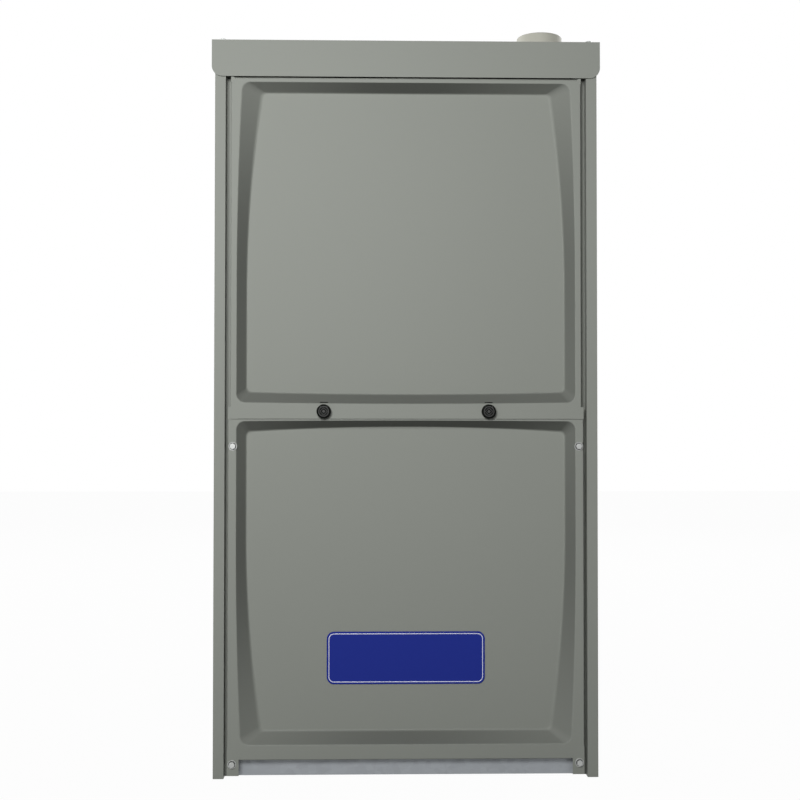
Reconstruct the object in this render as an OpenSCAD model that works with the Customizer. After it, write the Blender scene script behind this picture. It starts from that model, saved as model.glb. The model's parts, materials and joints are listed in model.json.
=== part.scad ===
// Forced-air gas furnace: an upflow cabinet with a condensing heat exchanger.
// The front faces -Y and +Z is up. The origin is the bottom centre of the whole part.
// Every module is drawn with y = 0 on the front face of the corner posts, so y is the depth
// behind that face, and placed() moves it back to the part's own origin.

/* [Cabinet] */
// Width over the side panels
cab_w = 444.5; // [420:0.5:620]
// Depth from the post faces to the back
cab_d = 737; // [730:1:800]
// Height to the top of the lid
cab_h = 854; // [850:1:900]
// Thickness of the casing's sheet steel
sheet = 1; // [0.8:0.1:1.2]
// Width of a corner post's face
post_w = 12.4; // [11:0.2:16]
// Depth at which the doors land on the side panels
ledge_depth = 12.5; // [12:0.5:16]
// Width of the ledge behind a door's edge
ledge_w = 14; // [13.5:0.5:15]
// Width of the ledge where a rail lands on it
landing_w = 26; // [22:1:32]
// Width of the lips folded at the rear, top and bottom of a side panel
lip_w = 20; // [16:1:26]
// How far the lid overhangs the sides and the back
cap_over = 3.75; // [2.5:0.25:6]
// How far the lid's front flange stands proud of the posts
cap_proud = 2; // [1.5:0.5:4]
// Height of the lid's front flange
cap_flange_h = 42.5; // [30:0.5:60]
// Height of the lid's side and rear flanges
cap_side_h = 28; // [16:1:30]
// Radius of the front flange's lower corners
cap_corner_r = 12; // [4:1:16]

/* [Doors] */
// Dark gap between a post and a door
groove_w = 3.75; // [2:0.25:6]
// Height of the seam between the doors
seam_z = 413.4; // [405:0.2:430]
// Gap between the two doors
seam_gap = 0.6; // [0.4:0.1:2]
// Height of the flat strip that carries the knobs
strip_h = 17.2; // [16.8:0.2:24]
// Bottom edge of the lower door
door_bottom = 21.3; // [18:0.1:30]
// Width of the tabs at the lower door's bottom corners
tab_w = 13.5; // [10:0.5:20]
// Height of those tabs' lower ends above the floor
tab_z = 3.5; // [2:0.5:8]
// How much narrower each side of the upper door is above its strip
upper_step = 2.4; // [1:0.2:4]
// Depth of the pressed recesses
recess_depth = 18; // [10:0.5:18.5]
// Flat border beside a recess, where the recess is widest
rim_side = 9.1; // [9:0.1:14]
// The same border at the cabinet's top and bottom
rim_side_far = 14.1; // [12:0.1:20]
// Width of the bevel beside a recess, where it is widest
bevel_side = 11.5; // [8:0.5:16]
// Width of that bevel at the cabinet's top and bottom
bevel_side_far = 20; // [14:0.5:28]
// Length over which the sides of a recess curve in
taper_len = 230; // [120:5:300]
// Corner radius of a recess
recess_r = 10; // [6:0.5:20]
// Width of the badge plate
badge_w = 184.6; // [120:0.2:220]
// Height of the badge plate
badge_h = 61; // [40:0.2:80]
// Thickness of the badge plate
badge_t = 1.2; // [0.8:0.1:3]
// Height of the badge's centre
badge_z = 135; // [110:0.5:180]

/* [Fasteners] */
// Radius of a screw's shank
screw_r = 2.1; // [1.8:0.05:2.4]
// Radius of the washer under a hex head
washer_r = 5; // [4:0.1:5.6]
// Width across the flats of a hex head
hex_af = 6.35; // [5.5:0.05:8]
// Height of a hex head
hex_h = 3.4; // [2:0.1:4]
// Height of the upper door screws
screw_z = 382; // [370:1:390]
// Height of the lower door screws
tab_screw_z = 16.8; // [14:0.1:18]
// Distance of a door screw from the door's edge
screw_edge = 5.7; // [5.6:0.1:7]
// Diameter of a knob
knob_d = 16.6; // [14:0.1:17]
// Height of a knob
knob_h = 7; // [5:0.5:10]
// Distance of a knob from the middle
knob_x = 95.5; // [60:0.5:120]
// Radius of a knob's stud
stud_r = 3; // [2.5:0.1:3.5]

/* [Air path] */
// Width of the supply-air opening in the lid
supply_w = 400; // [320:1:402]
// Depth at which the supply-air opening starts
supply_y = 305; // [302:1:340]
// Length of the supply-air opening
supply_l = 405; // [340:1:408]
// Height of the duct collar
collar_h = 20; // [10:1:30]
// Width of the return-air opening in the base
return_w = 370; // [300:1:380]
// Length of the return-air opening
return_l = 580; // [400:1:600]
// Depth of the vestibule panel behind the front
vestibule_y = 290; // [289:1:294]
// Thickness of the insulation blanket
blanket_t = 12; // [6:1:12]

/* [Blower] */
// Outside radius of the blower wheel
wheel_r = 127; // [110:1:130]
// Length of the blower wheel
wheel_l = 203; // [160:1:210]
// Number of blades on the blower wheel
blade_count = 40; // [20:1:48]
// Width of the blower housing along the shaft
housing_l = 240; // [236:1:280]
// Depth at which the blower housing starts
housing_y = 300; // [296:1:330]
// Sideways place of the blower's shaft
blower_x = -15; // [-20:1:0]
// Height of the blower's shaft
blower_z = 208; // [205:1:215]
// Smallest radius of the scroll
scroll_r0 = 140; // [136:1:146]
// Largest radius of the scroll
scroll_r1 = 203; // [190:1:206]
// Radius of the blower motor
motor_r = 68; // [50:1:76]
// Length of the blower motor
motor_l = 148; // [120:1:150]
// Radius of the blower's shaft
shaft_r = 6.35; // [5:0.05:8]

/* [Venting] */
// Outside diameter of the plastic vent pipe
vent_od = 60.3; // [48:0.1:62]
// Wall of the vent pipe
vent_wall = 3.9; // [2:0.1:6]
// Distance from the vent pipe to the outside of the side panel
vent_side = 7; // [4:0.5:10]
// Depth of the vent pipe's centre
vent_y = 225; // [220:1:230]
// Height of the pipe stub above the lid
vent_rise = 74; // [40:1:120]
// Height of the inducer's shaft
inducer_z = 590; // [580:1:600]
// Radius of the inducer wheel
inducer_wheel_r = 62; // [50:1:64]
// Radius of the inducer motor
inducer_motor_r = 42; // [34:1:48]

/* [Burners] */
// Number of burners and primary tubes
burner_count = 4; // [3:1:4]
// Spacing of the burners
burner_pitch = 52; // [48:0.5:52]
// Height of the burners
burner_z = 760; // [752:1:762]
// Outside radius of a primary tube
tube_r = 22; // [18:0.5:22]
// Wall of a primary tube
tube_wall = 1.5; // [1:0.1:2.5]
// Radius of the bends between the tube's passes
bend_r = 40; // [36:1:42]
// Radius of the gas manifold
manifold_r = 10.65; // [8:0.05:12]

/* [Entries] */
// Radius of the gas entry hole in the side panel
gas_hole_r = 19; // [16:0.5:20]
// Radius of the electrical entry hole
cable_hole_r = 11.1; // [10:0.1:14]
// Radius of the condensate drain hole
drain_hole_r = 15; // [12:0.5:16]

/* [Hidden] */
$fn = 48;

// Clearances
run_gap = 0.05;   // round a shaft that turns or slides
seat_gap = 0.3;   // between a part and what it rests on
slip = 0.2;       // round a part that is pushed through a hole
touch = 0.1;      // between flat faces that are screwed together

// The part's origin lies in the middle of its depth, from the knobs to the rear screws or the lid
washer_t = 0.8;
y_front = (knob_h - cab_d - max(cap_over, washer_t + hex_h)) / 2;
hx = cab_w / 2;
in_x = hx - sheet;

// Casing levels and depths
cap_under = cab_h - sheet;
deck_z = seam_z + strip_h;
deck_top = deck_z + sheet;
landing_rise = 36;
rail_y = ledge_depth + sheet;
base_y = 32;
bottom_rail_h = 30;
bottom_rail_z = tab_z + 0.8;
rail_hw = hx - post_w - 15;
ledge_x = hx - post_w - landing_w;
back_y = cab_d - 2 * sheet - touch;

// Doors
door_hw = hx - post_w - groove_w;
upper_hw = door_hw - upper_step;
side_lip_y = ledge_depth - seat_gap;
end_lip_y = ledge_depth - sheet - 0.4;
upper_bottom = seam_z + seam_gap / 2;
lower_top = seam_z - seam_gap / 2;
door_face_top = cab_h - cap_flange_h - 2.6;
tongue_top = cab_h - cap_flange_h - seat_gap;
ear_z = deck_z - 3;
screw_x = door_hw - screw_edge;
rim_hw = door_hw - rim_side;
rim_hw_far = door_hw - rim_side_far;
floor_hw = rim_hw - bevel_side;
floor_hw_far = rim_hw_far - bevel_side_far;
upper_rim_far = door_face_top - 3.1;
upper_floor_far = upper_rim_far - 9.1;
upper_floor_near = deck_z + 13.3;
lower_rim_near = lower_top - 1;
rail_z0 = lower_rim_near + 0.7;
lower_rim_far = door_bottom + 16.7;
lower_floor_near = lower_rim_near - 8;
lower_floor_far = lower_rim_far + 14.3;
screw_l = ledge_depth + 5;

// Knobs and their receptacles
knob_z = seam_z + 8.9;
knob_collar_r = 5;
receptacle_y = rail_y + sheet;
receptacle_t = 1.5;
wing_w = 2;
wing_l = 10;
wing_y = receptacle_y + receptacle_t + 1;

// Air side
supply_y1 = supply_y + supply_l;
motor_y = housing_y - 50;
wheel_y = housing_y + (housing_l - wheel_l) / 2;
hub_y = wheel_y + wheel_l / 2;

// Venting
vent_x = hx - vent_side - vent_od / 2;
vent_top = cab_h + vent_rise;
inducer_x = vent_x - 92;
inducer_y = vent_y - 29;
inducer_l = 62;
stub_top = inducer_z + 100;
collector_y = inducer_y + inducer_l + 2;
fan_y = 100;

// Burners and heat exchanger
box_y = vestibule_y - 120;
box_hw = burner_pitch * burner_count / 2 + 16;
manifold_y = box_y - 26;
tube_back = cab_d - 97;
tube_front = vestibule_y + 72;
header_y = tube_back + 14;
header_l = 48;
pass_z = [burner_z, burner_z - 2 * bend_r, burner_z - 4 * bend_r];
valve_x0 = -hx + 26;
valve_w = 62;

function burner_x(i) = (i - (burner_count - 1) / 2) * burner_pitch;

// ---- Shared helpers ----

module placed() {
  translate([0, y_front, 0]) children();
}

// A flat box between two corners
module block(x, y, z) {
  translate([x[0], y[0], z[0]]) cube([x[1] - x[0], y[1] - y[0], z[1] - z[0]]);
}

// The stretch from a to b on one side of the middle: the right for side 1, the left for -1
function span(side, a, b) = side > 0 ? [a, b] : [-b, -a];

// A flat shape drawn in x and z, as a plate that starts at depth y
module plate_at(y, t) {
  translate([0, y + t, 0]) rotate([90, 0, 0]) linear_extrude(t) children();
}

// A round bar or hole along the depth, from y over a length l
module rod_y(x, z, y, l, r) {
  translate([x, y, z]) rotate([-90, 0, 0]) cylinder(r = r, h = l);
}

// A round bar or hole across the width, from x over a length l
module rod_x(y, z, x, l, r) {
  translate([x, y, z]) rotate([0, 90, 0]) cylinder(r = r, h = l);
}

// A tube along the depth
module tube_y(x, z, y, l, r, wall) {
  difference() {
    rod_y(x, z, y, l, r);
    rod_y(x, z, y - 1, l + 2, r - wall);
  }
}

// A hex washer-head screw whose head faces -Z, with its seat at z = 0 and its shank above
module hex_screw(l) {
  translate([0, 0, -washer_t]) cylinder(r = washer_r, h = washer_t);
  translate([0, 0, -washer_t - hex_h]) cylinder(d = hex_af / cos(30), h = hex_h + washer_t / 2, $fn = 6);
  cylinder(r = screw_r, h = l);
}

// The same screw driven from the front into the depth
module front_screw(x, z, y, l) {
  translate([x, y, z]) rotate([-90, 0, 0]) hex_screw(l);
}

// A rectangle with four round corners, drawn flat
module round_rect(w, h, r) {
  square([w - 2 * r, h], center = true);
  square([w, h - 2 * r], center = true);
  for (sx = [-1, 1], sz = [-1, 1]) {
    translate([sx * (w / 2 - r), sz * (h / 2 - r)]) circle(r = r);
  }
}

// A frame between an outer and an inner rectangle, both about the same centre
module frame_plate(w, l, w_in, l_in, t) {
  linear_extrude(t) difference() {
    square([w, l], center = true);
    square([w_in, l_in], center = true);
  }
}

// Points along a smooth curve through the route's points
function spline(a, b, c, d, t) =
  0.5 * (2 * b + (c - a) * t + (2 * a - 5 * b + 4 * c - d) * t * t
  + (3 * b - a - 3 * c + d) * t * t * t);

function route(p, k) = concat(
  [for (i = [0 : len(p) - 2], j = [0 : k - 1])
    spline(p[max(i - 1, 0)], p[i], p[i + 1], p[min(i + 2, len(p) - 1)], j / k)],
  [p[len(p) - 1]]);

function unit(v) = v / norm(v);

// A round hose or cable swept along a route
module hose(p, r, k = 4, sides = 10) {
  path = route(p, k);
  n = len(path);
  lean = [0.31, 0.21, 0.93];
  function along(i) = i == 0 ? unit(p[1] - p[0])
    : i == n - 1 ? unit(p[len(p) - 1] - p[len(p) - 2])
    : unit(path[i + 1] - path[i - 1]);
  function side(i) = unit(cross(along(i), lean));
  points = [for (i = [0 : n - 1]) let (a = side(i), b = cross(along(i), a))
    for (j = [0 : sides - 1]) path[i] + r * (cos(360 * j / sides) * a + sin(360 * j / sides) * b)];
  walls = [for (i = [0 : n - 2], j = [0 : sides - 1]) let (k2 = (j + 1) % sides)
    [i * sides + j, (i + 1) * sides + j, (i + 1) * sides + k2, i * sides + k2]];
  ends = [[for (j = [0 : sides - 1]) j], [for (j = [sides - 1 : -1 : 0]) (n - 1) * sides + j]];
  polyhedron(points, concat(walls, ends), convexity = 6);
}

// ---- Pressed door recess ----
// Its outline is drawn in x and v, where v runs from the strip between the doors to the far end
// of the cabinet. Its sides curve in towards the far end, like the staves of a barrel.

edge_n = 8;
side_n = 9;
corner_n = 6;
ring_n = 4 * (corner_n + 1) + 2 * (side_n - 1) + 2 * (edge_n - 1);

function recess_hw(v, len, w, w_far) =
  w - (w - w_far) * pow(max(0, 1 - (len - v) / taper_len), 2);

function arc(x, v, r, a0) =
  [for (i = [0 : corner_n]) let (a = a0 + 90 * i / corner_n) [x + r * cos(a), v + r * sin(a)]];

// As many points as arc() has, but along a square corner from a through c to b
function square_corner(a, c, b) =
  [for (i = [0 : corner_n]) let (t = 2 * i / corner_n) t < 1 ? a + (c - a) * t : c + (b - c) * (t - 1)];

// A recess is [near, len, w, w_far, r, sag]: where its outline starts, its length, its half widths
// at both ends, its corner radius, and how far its near corners lie behind its near middle
function far_flat(q) = recess_hw(q[1] - q[4], q[1], q[2], q[3]) - q[4];

function side_v(q, i) = q[4] + q[5] + i * (q[1] - 2 * q[4] - q[5]) / side_n;

function recess_ring(q) = let (flat = q[2] - q[4], v0 = q[0] + q[5] + q[4], v1 = q[0] + q[1] - q[4])
  concat(
    [for (i = [1 : edge_n - 1]) let (u = 2 * i / edge_n - 1) [u * flat, q[0] + q[5] * u * u]],
    arc(flat, v0, q[4], -90),
    [for (i = [1 : side_n - 1]) let (v = side_v(q, i)) [recess_hw(v, q[1], q[2], q[3]), q[0] + v]],
    arc(far_flat(q), v1, q[4], 0),
    [for (i = [1 : edge_n - 1]) [(1 - 2 * i / edge_n) * far_flat(q), q[0] + q[1]]],
    arc(-far_flat(q), v1, q[4], 90),
    [for (i = [side_n - 1 : -1 : 1]) let (v = side_v(q, i)) [-recess_hw(v, q[1], q[2], q[3]), q[0] + v]],
    arc(-flat, v0, q[4], 180));

// The door's straight edge round a recess, point for point: from v0 to v1, w to each side
function border_ring(q, v0, v1, w) = let (flat = q[2] - q[4], a = q[0] + q[5] + q[4], b = q[0] + q[1] - q[4])
  concat(
    [for (i = [1 : edge_n - 1]) [(2 * i / edge_n - 1) * flat, v0]],
    square_corner([flat, v0], [w, v0], [w, a]),
    [for (i = [1 : side_n - 1]) [w, q[0] + side_v(q, i)]],
    square_corner([w, b], [w, v1], [far_flat(q), v1]),
    [for (i = [1 : edge_n - 1]) [(1 - 2 * i / edge_n) * far_flat(q), v1]],
    square_corner([-far_flat(q), v1], [-w, v1], [-w, b]),
    [for (i = [side_n - 1 : -1 : 1]) [-w, q[0] + side_v(q, i)]],
    square_corner([-w, a], [-w, v0], [-flat, v0]));

// A pressed sheet: flat border, soft S-shaped bevel from the rim down, and a flat floor
module pressed_face(rim_q, floor_q, v0, v1, w) {
  rim = recess_ring(rim_q);
  base = recess_ring(floor_q);
  border = border_ring(rim_q, v0, v1, w);
  bevel = [1, 0.84, 0.66, 0.5, 0.34, 0.16, 0];
  last = len(bevel) - 1;
  function depth_of(u) = recess_depth * (3 * u * u - 2 * u * u * u);
  function mix(u) = rim * (1 - u) + base * u;
  rings = concat(
    [for (u = bevel) [mix(u), depth_of(u)]],
    [[border, 0], [border, sheet]],
    [for (i = [last : -1 : 0]) [mix(bevel[i]), depth_of(bevel[i]) + sheet]]);
  points = [for (ring = rings, p = ring[0]) [p[0], ring[1], p[1]]];
  walls = [for (k = [0 : len(rings) - 2], i = [0 : ring_n - 1]) let (j = (i + 1) % ring_n)
    [k * ring_n + i, k * ring_n + j, (k + 1) * ring_n + j, (k + 1) * ring_n + i]];
  caps = [[for (i = [ring_n - 1 : -1 : 0]) i],
          [for (i = [0 : ring_n - 1]) (len(rings) - 1) * ring_n + i]];
  polyhedron(points, concat(walls, caps), convexity = 8);
}

// ---- Casing ----

module side_panel() {
  block([-hx, -hx + sheet], [0, cab_d], [0, cap_under]);
  block([-hx, -hx + post_w], [0, sheet], [0, cap_under]);
  block([-hx + post_w - sheet, -hx + post_w], [0, ledge_depth + sheet], [0, cap_under]);
  block([-hx + post_w - sheet, -hx + post_w + ledge_w], [ledge_depth, ledge_depth + sheet], [0, cap_under]);
  for (z = [[0, landing_rise], [rail_z0, deck_z]]) {
    block([-hx + post_w, -ledge_x], [ledge_depth, ledge_depth + sheet], z);
  }
  block([-hx, -hx + lip_w], [cab_d - sheet, cab_d], [0, cap_under]);
  block([-hx, -hx + lip_w], [base_y, cab_d], [0, sheet]);
  for (y = [[0, lip_w], [cab_d - lip_w, cab_d]]) {
    block([-hx, -hx + post_w], y, [cap_under - sheet, cap_under]);
  }
}

// Holes shared by both side panels: door screws and rear casing screws
module side_panel_holes() {
  for (z = [screw_z, tab_screw_z]) {
    rod_y(-screw_x, z, ledge_depth - 1, sheet + 2, screw_r + run_gap);
  }
  for (z = rear_screw_z) {
    rod_y(-rear_screw_x, z, cab_d - sheet - 1, sheet + 2, screw_r + run_gap);
  }
  for (y = cap_screw_y) {
    translate([-cap_screw_x, y, cap_under - sheet - 1]) cylinder(r = screw_r + run_gap, h = sheet + 2);
  }
}

rear_screw_z = [120, cab_h * 0.5, cab_h - 120];
rear_screw_x = hx - lip_w / 2;
rear_screw_l = 5;
cap_screw_l = 9;
cap_screw_x = hx - 7.75;
cap_screw_y = [9, cab_d - 9];

gas_y = manifold_y;
gas_z = burner_z;
cable_y = 74;
cable_z = 348;
drain_y = 92;
drain_z = deck_top + 24;

module left_side_panel() {
  color([0.58, 0.59, 0.57]) placed() difference() {
    side_panel();
    side_panel_holes();
    rod_x(gas_y, gas_z, -hx - 1, sheet + 2, gas_hole_r);
    rod_x(drain_y, drain_z, -hx - 1, sheet + 2, drain_hole_r);
    rod_x(cable_y, cable_z, -hx - 1, sheet + 2, cable_hole_r);
  }
}

module right_side_panel() {
  color([0.58, 0.59, 0.57]) placed() difference() {
    mirror([1, 0, 0]) side_panel();
    mirror([1, 0, 0]) side_panel_holes();
    rod_x(gas_y, gas_z, in_x - 1, sheet + 2, gas_hole_r);
    rod_x(drain_y, drain_z, in_x - 1, sheet + 2, drain_hole_r);
    rod_x(cable_y, cable_z, in_x - 1, sheet + 2, cable_hole_r);
  }
}

module back_panel() {
  bead_w = 8;
  bead_d = 2;
  color([0.58, 0.59, 0.57]) placed() difference() {
    union() {
      block([-in_x + touch, in_x - touch], [back_y, back_y + sheet],
            [sheet + touch, cap_under - sheet - touch]);
      for (z = [cab_h * 0.3, cab_h * 0.7]) {
        block([-in_x + lip_w + 20, in_x - lip_w - 20], [back_y - bead_d, back_y], [z, z + bead_w]);
      }
    }
    for (sx = [-1, 1], z = rear_screw_z) {
      rod_y(sx * rear_screw_x, z, back_y - 1, sheet + 2, screw_r + run_gap);
    }
  }
}

// The lid's front flange, with its two lower corners rounded
module cap_flange() {
  w = hx + cap_over;
  z0 = cab_h - cap_flange_h;
  translate([-w, z0 + cap_corner_r]) square([2 * w, cap_flange_h - cap_corner_r]);
  translate([-w + cap_corner_r, z0]) square([2 * (w - cap_corner_r), cap_flange_h]);
  for (sx = [-1, 1]) translate([sx * (w - cap_corner_r), z0 + cap_corner_r]) circle(r = cap_corner_r);
}

module top_cap() {
  w = hx + cap_over;
  y1 = cab_d + cap_over;
  side_z = cab_h - cap_side_h;
  color([0.6, 0.61, 0.58]) placed() difference() {
    union() {
      block([-w, w], [-cap_proud, y1], [cap_under, cab_h]);
      plate_at(-cap_proud, sheet) cap_flange();
      for (sx = [-1, 1]) {
        block(span(sx, w - sheet, w), [-cap_proud, y1], [side_z, cab_h]);
      }
      block([-w, w], [y1 - sheet, y1], [side_z, cab_h]);
    }
    block([-supply_w / 2, supply_w / 2], [supply_y, supply_y1], [cap_under - 1, cab_h + 1]);
    for (sx = [-1, 1]) {
      translate([sx * vent_x, vent_y, cap_under - 1]) cylinder(r = cap_hole_r, h = sheet + 2);
    }
    for (sx = [-1, 1], y = cap_screw_y) {
      translate([sx * cap_screw_x, y, cap_under - 1]) cylinder(r = screw_r + run_gap, h = sheet + 2);
    }
  }
}

cap_hole_r = vent_od / 2 + 4.5;

// An upturned collar round the supply opening, for the duct above
module supply_collar() {
  lip = 10;
  color("silver") placed() translate([0, supply_y + supply_l / 2, cab_h]) {
    frame_plate(supply_w + 2 * sheet, supply_l + 2 * sheet, supply_w, supply_l, collar_h);
    frame_plate(supply_w + 2 * lip, supply_l + 2 * lip, supply_w, supply_l, sheet);
  }
}

// The galvanised frame round the return-air opening, on the side panels' bottom lips
module base_frame() {
  mid_y = (base_y + back_y) / 2;
  color("silver") placed() translate([0, mid_y, sheet]) {
    frame_plate(2 * in_x, back_y - base_y, return_w, return_l, sheet);
    frame_plate(return_w + 2 * sheet, return_l + 2 * sheet, return_w, return_l, 12);
  }
}

module bottom_rail() {
  y = ledge_depth - sheet;
  z1 = bottom_rail_z + bottom_rail_h;
  x1 = ledge_x - slip;
  color([0.7, 0.72, 0.75]) placed() {
    block([-rail_hw, rail_hw], [y, y + sheet], [bottom_rail_z, z1]);
    block([-x1, x1], [y, y + 12], [z1 - sheet, z1]);
    block([-x1, x1], [y, base_y + 14], [bottom_rail_z, bottom_rail_z + sheet]);
    block([-x1, x1], [base_y + 14 - sheet, base_y + 14], [2 * sheet, bottom_rail_z + sheet]);
  }
}

// The channel behind the strip between the doors
module cross_rail() {
  color("silver") placed() difference() {
    union() {
      block([-rail_hw, rail_hw], [rail_y, rail_y + sheet], [rail_z0, deck_z]);
      block([-in_x, in_x], [rail_y, rail_y + 24], [deck_z - sheet, deck_z]);
      block([-rail_hw, rail_hw], [rail_y, rail_y + 24], [rail_z0, rail_z0 + sheet]);
    }
    for (sx = [-1, 1]) rod_y(sx * knob_x, knob_z, rail_y - 1, sheet + 2, 7);
  }
}

module blower_deck() {
  y0 = rail_y;
  hole_x = [outlet_x0 + sheet, outlet_x1 - sheet];
  hole_y = [housing_y + sheet, housing_y + housing_l - sheet];
  color("silver") placed() difference() {
    block([-in_x, in_x], [y0, back_y], [deck_z, deck_top]);
    block(hole_x, hole_y, [deck_z - 1, deck_top + 1]);
    translate([harness_x, harness_y, deck_z - 1]) cylinder(r = 9, h = sheet + 2);
  }
}

module vestibule_panel() {
  color("silver") placed() difference() {
    block([-in_x, in_x], [vestibule_y, vestibule_y + sheet], [deck_top, cap_under - sheet - slip]);
    for (i = [0 : burner_count - 1]) {
      rod_y(burner_x(i), burner_z, vestibule_y - 1, sheet + 2, tube_r - tube_wall);
    }
    block([-coil_hw + 20, coil_hw - 20], [vestibule_y - 1, vestibule_y + sheet + 1],
          [coil_z0 + 6, coil_z1 - 6]);
    rod_y(limit_x, limit_z, vestibule_y - 1, sheet + 2, limit_r + slip);
  }
}

module insulation_blanket() {
  y0 = vestibule_y + sheet + seat_gap;
  x1 = in_x - seat_gap;
  z = [deck_top + seat_gap, cab_h - cap_screw_l - 3];
  y1 = cab_d - rear_screw_l - 1;
  color([0.75, 0.75, 0.72]) placed() {
    for (sx = [-1, 1]) {
      block(span(sx, x1 - blanket_t, x1), [y0, y1], z);
    }
    block([-x1, x1], [y1 - blanket_t, y1], z);
  }
}

// ---- Doors ----

module upper_door() {
  rim = [deck_z, upper_rim_far - deck_z, rim_hw, rim_hw_far, recess_r, 1.4];
  base = [upper_floor_near, upper_floor_far - upper_floor_near,
          floor_hw, floor_hw_far, recess_r * 0.6, 2.6];
  horn = 2.1;
  color([0.58, 0.59, 0.56]) placed() difference() {
    union() {
      pressed_face(rim, base, upper_bottom, door_face_top, upper_hw);
      block([-upper_hw, upper_hw], [sheet / 2, 2 * sheet], [door_face_top - 2, tongue_top]);
      block([-upper_hw, upper_hw], [sheet, end_lip_y], [tongue_top - sheet, tongue_top]);
      block([-rail_hw, rail_hw], [sheet / 2, end_lip_y], [upper_bottom, upper_bottom + sheet]);
      for (sx = [-1, 1]) {
        block(span(sx, upper_hw - sheet, upper_hw), [sheet / 2, side_lip_y], [ear_z, door_face_top - 4]);
        block(span(sx, upper_hw - horn, door_hw), [0, sheet], [upper_bottom, ear_z]);
        block(span(sx, upper_hw - horn, upper_hw), [0, sheet], [door_face_top - 2, tongue_top]);
      }
    }
    for (sx = [-1, 1]) rod_y(sx * knob_x, knob_z, -1, sheet + 2, stud_r + run_gap);
  }
}

module lower_door() {
  rim = [0, lower_rim_near - lower_rim_far, rim_hw, rim_hw_far, recess_r, 0.4];
  base = [lower_rim_near - lower_floor_near, lower_floor_near - lower_floor_far,
          floor_hw, floor_hw_far, recess_r * 0.6, 6.2];
  tab_x = door_hw - tab_w;
  color([0.54, 0.55, 0.53]) placed() difference() {
    union() {
      translate([0, 0, lower_rim_near]) mirror([0, 0, 1])
        pressed_face(rim, base, lower_rim_near - lower_top, lower_rim_near - door_bottom, door_hw);
      block([-rail_hw, rail_hw], [sheet / 2, end_lip_y], [lower_top - 0.9, lower_top]);
      block([-tab_x, tab_x], [sheet / 2, end_lip_y], [door_bottom, door_bottom + sheet]);
      for (sx = [-1, 1]) {
        block(span(sx, door_hw - sheet, door_hw), [sheet / 2, side_lip_y], [door_bottom + 14, lower_top]);
        block(span(sx, tab_x, door_hw), [0, sheet], [tab_z, door_bottom + 2]);
      }
    }
    for (sx = [-1, 1], z = [screw_z, tab_screw_z]) {
      rod_y(sx * screw_x, z, -1, 2 * sheet + 2, screw_r + run_gap);
    }
    for (sx = [-1, 1]) translate([sx * door_hw, 0, screw_z]) cube([1.6, 3 * sheet, 8], center = true);
  }
}

module door_badge() {
  color([0.12, 0.17, 0.45]) placed() translate([0, 0, badge_z])
    plate_at(recess_depth - badge_t, badge_t) round_rect(badge_w, badge_h, 8);
}

// A black quarter-turn knob: ringed head, stud through the door, collar behind it and two wings.
// It is drawn released, with its wings in line with the receptacle's slot.
module knob() {
  head_r = knob_d / 2;
  rotate([-90, 0, 0]) {
    rotate_extrude() polygon([
      [0, -knob_h + 2.4], [2.6, -knob_h + 2.4], [2.6, -knob_h + 1.2], [4, -knob_h + 1.2],
      [4.4, -knob_h + 0.4], [6, -knob_h], [head_r - 1.4, -knob_h], [head_r, -knob_h + 1.6],
      [head_r, -0.6], [head_r - 0.6, 0], [stud_r, 0], [stud_r, sheet + 0.3],
      [knob_collar_r, sheet + 0.3], [knob_collar_r, sheet + 2], [stud_r, sheet + 2],
      [stud_r, wing_y + 4], [0, wing_y + 4]]);
    translate([-wing_w / 2, -wing_l / 2, wing_y]) cube([wing_w, wing_l, 2]);
  }
}

module knob_left() {
  color([0.12, 0.12, 0.12]) placed() translate([-knob_x, 0, knob_z]) knob();
}

module knob_right() {
  color([0.12, 0.12, 0.12]) placed() translate([knob_x, 0, knob_z]) knob();
}

module knob_receptacles() {
  color("silver") placed() for (sx = [-1, 1]) translate([sx * knob_x, 0, knob_z]) {
    plate_at(receptacle_y, receptacle_t) difference() {
      square([24, 14], center = true);
      circle(r = stud_r + seat_gap);
      square([wing_w + 0.6, wing_l + 0.6], center = true);
    }
  }
}

module lower_door_screws() {
  color([0.8, 0.81, 0.8]) placed() for (sx = [-1, 1], z = [screw_z, tab_screw_z]) {
    front_screw(sx * screw_x, z, 0, screw_l);
  }
}

module casing_screws() {
  color([0.8, 0.81, 0.8]) placed() {
    for (sx = [-1, 1], y = cap_screw_y) {
      translate([sx * cap_screw_x, y, cab_h]) rotate([180, 0, 0]) hex_screw(cap_screw_l);
    }
    for (sx = [-1, 1], z = rear_screw_z) {
      translate([sx * rear_screw_x, cab_d, z]) rotate([90, 0, 0]) hex_screw(rear_screw_l);
    }
  }
}

// A push-in plug: a thin head outside the panel and a barrel through the hole
module plug(hole_r) {
  cylinder(r = hole_r + 2, h = 1.2);
  translate([0, 0, -4]) cylinder(r = hole_r - slip, h = 4);
}

module hole_plugs() {
  color([0.15, 0.15, 0.15]) placed() {
    translate([-vent_x, vent_y, cab_h]) plug(cap_hole_r);
    translate([hx, gas_y, gas_z]) rotate([0, 90, 0]) plug(gas_hole_r);
    translate([hx, drain_y, drain_z]) rotate([0, 90, 0]) plug(drain_hole_r);
    translate([-hx, cable_y, cable_z]) rotate([0, -90, 0]) plug(cable_hole_r);
  }
}

// ---- Heat exchanger ----

coil_hw = 186;
coil_z0 = deck_top + 30;
coil_z1 = coil_z0 + 96;
header_z1 = pass_z[2] + 46;

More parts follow.
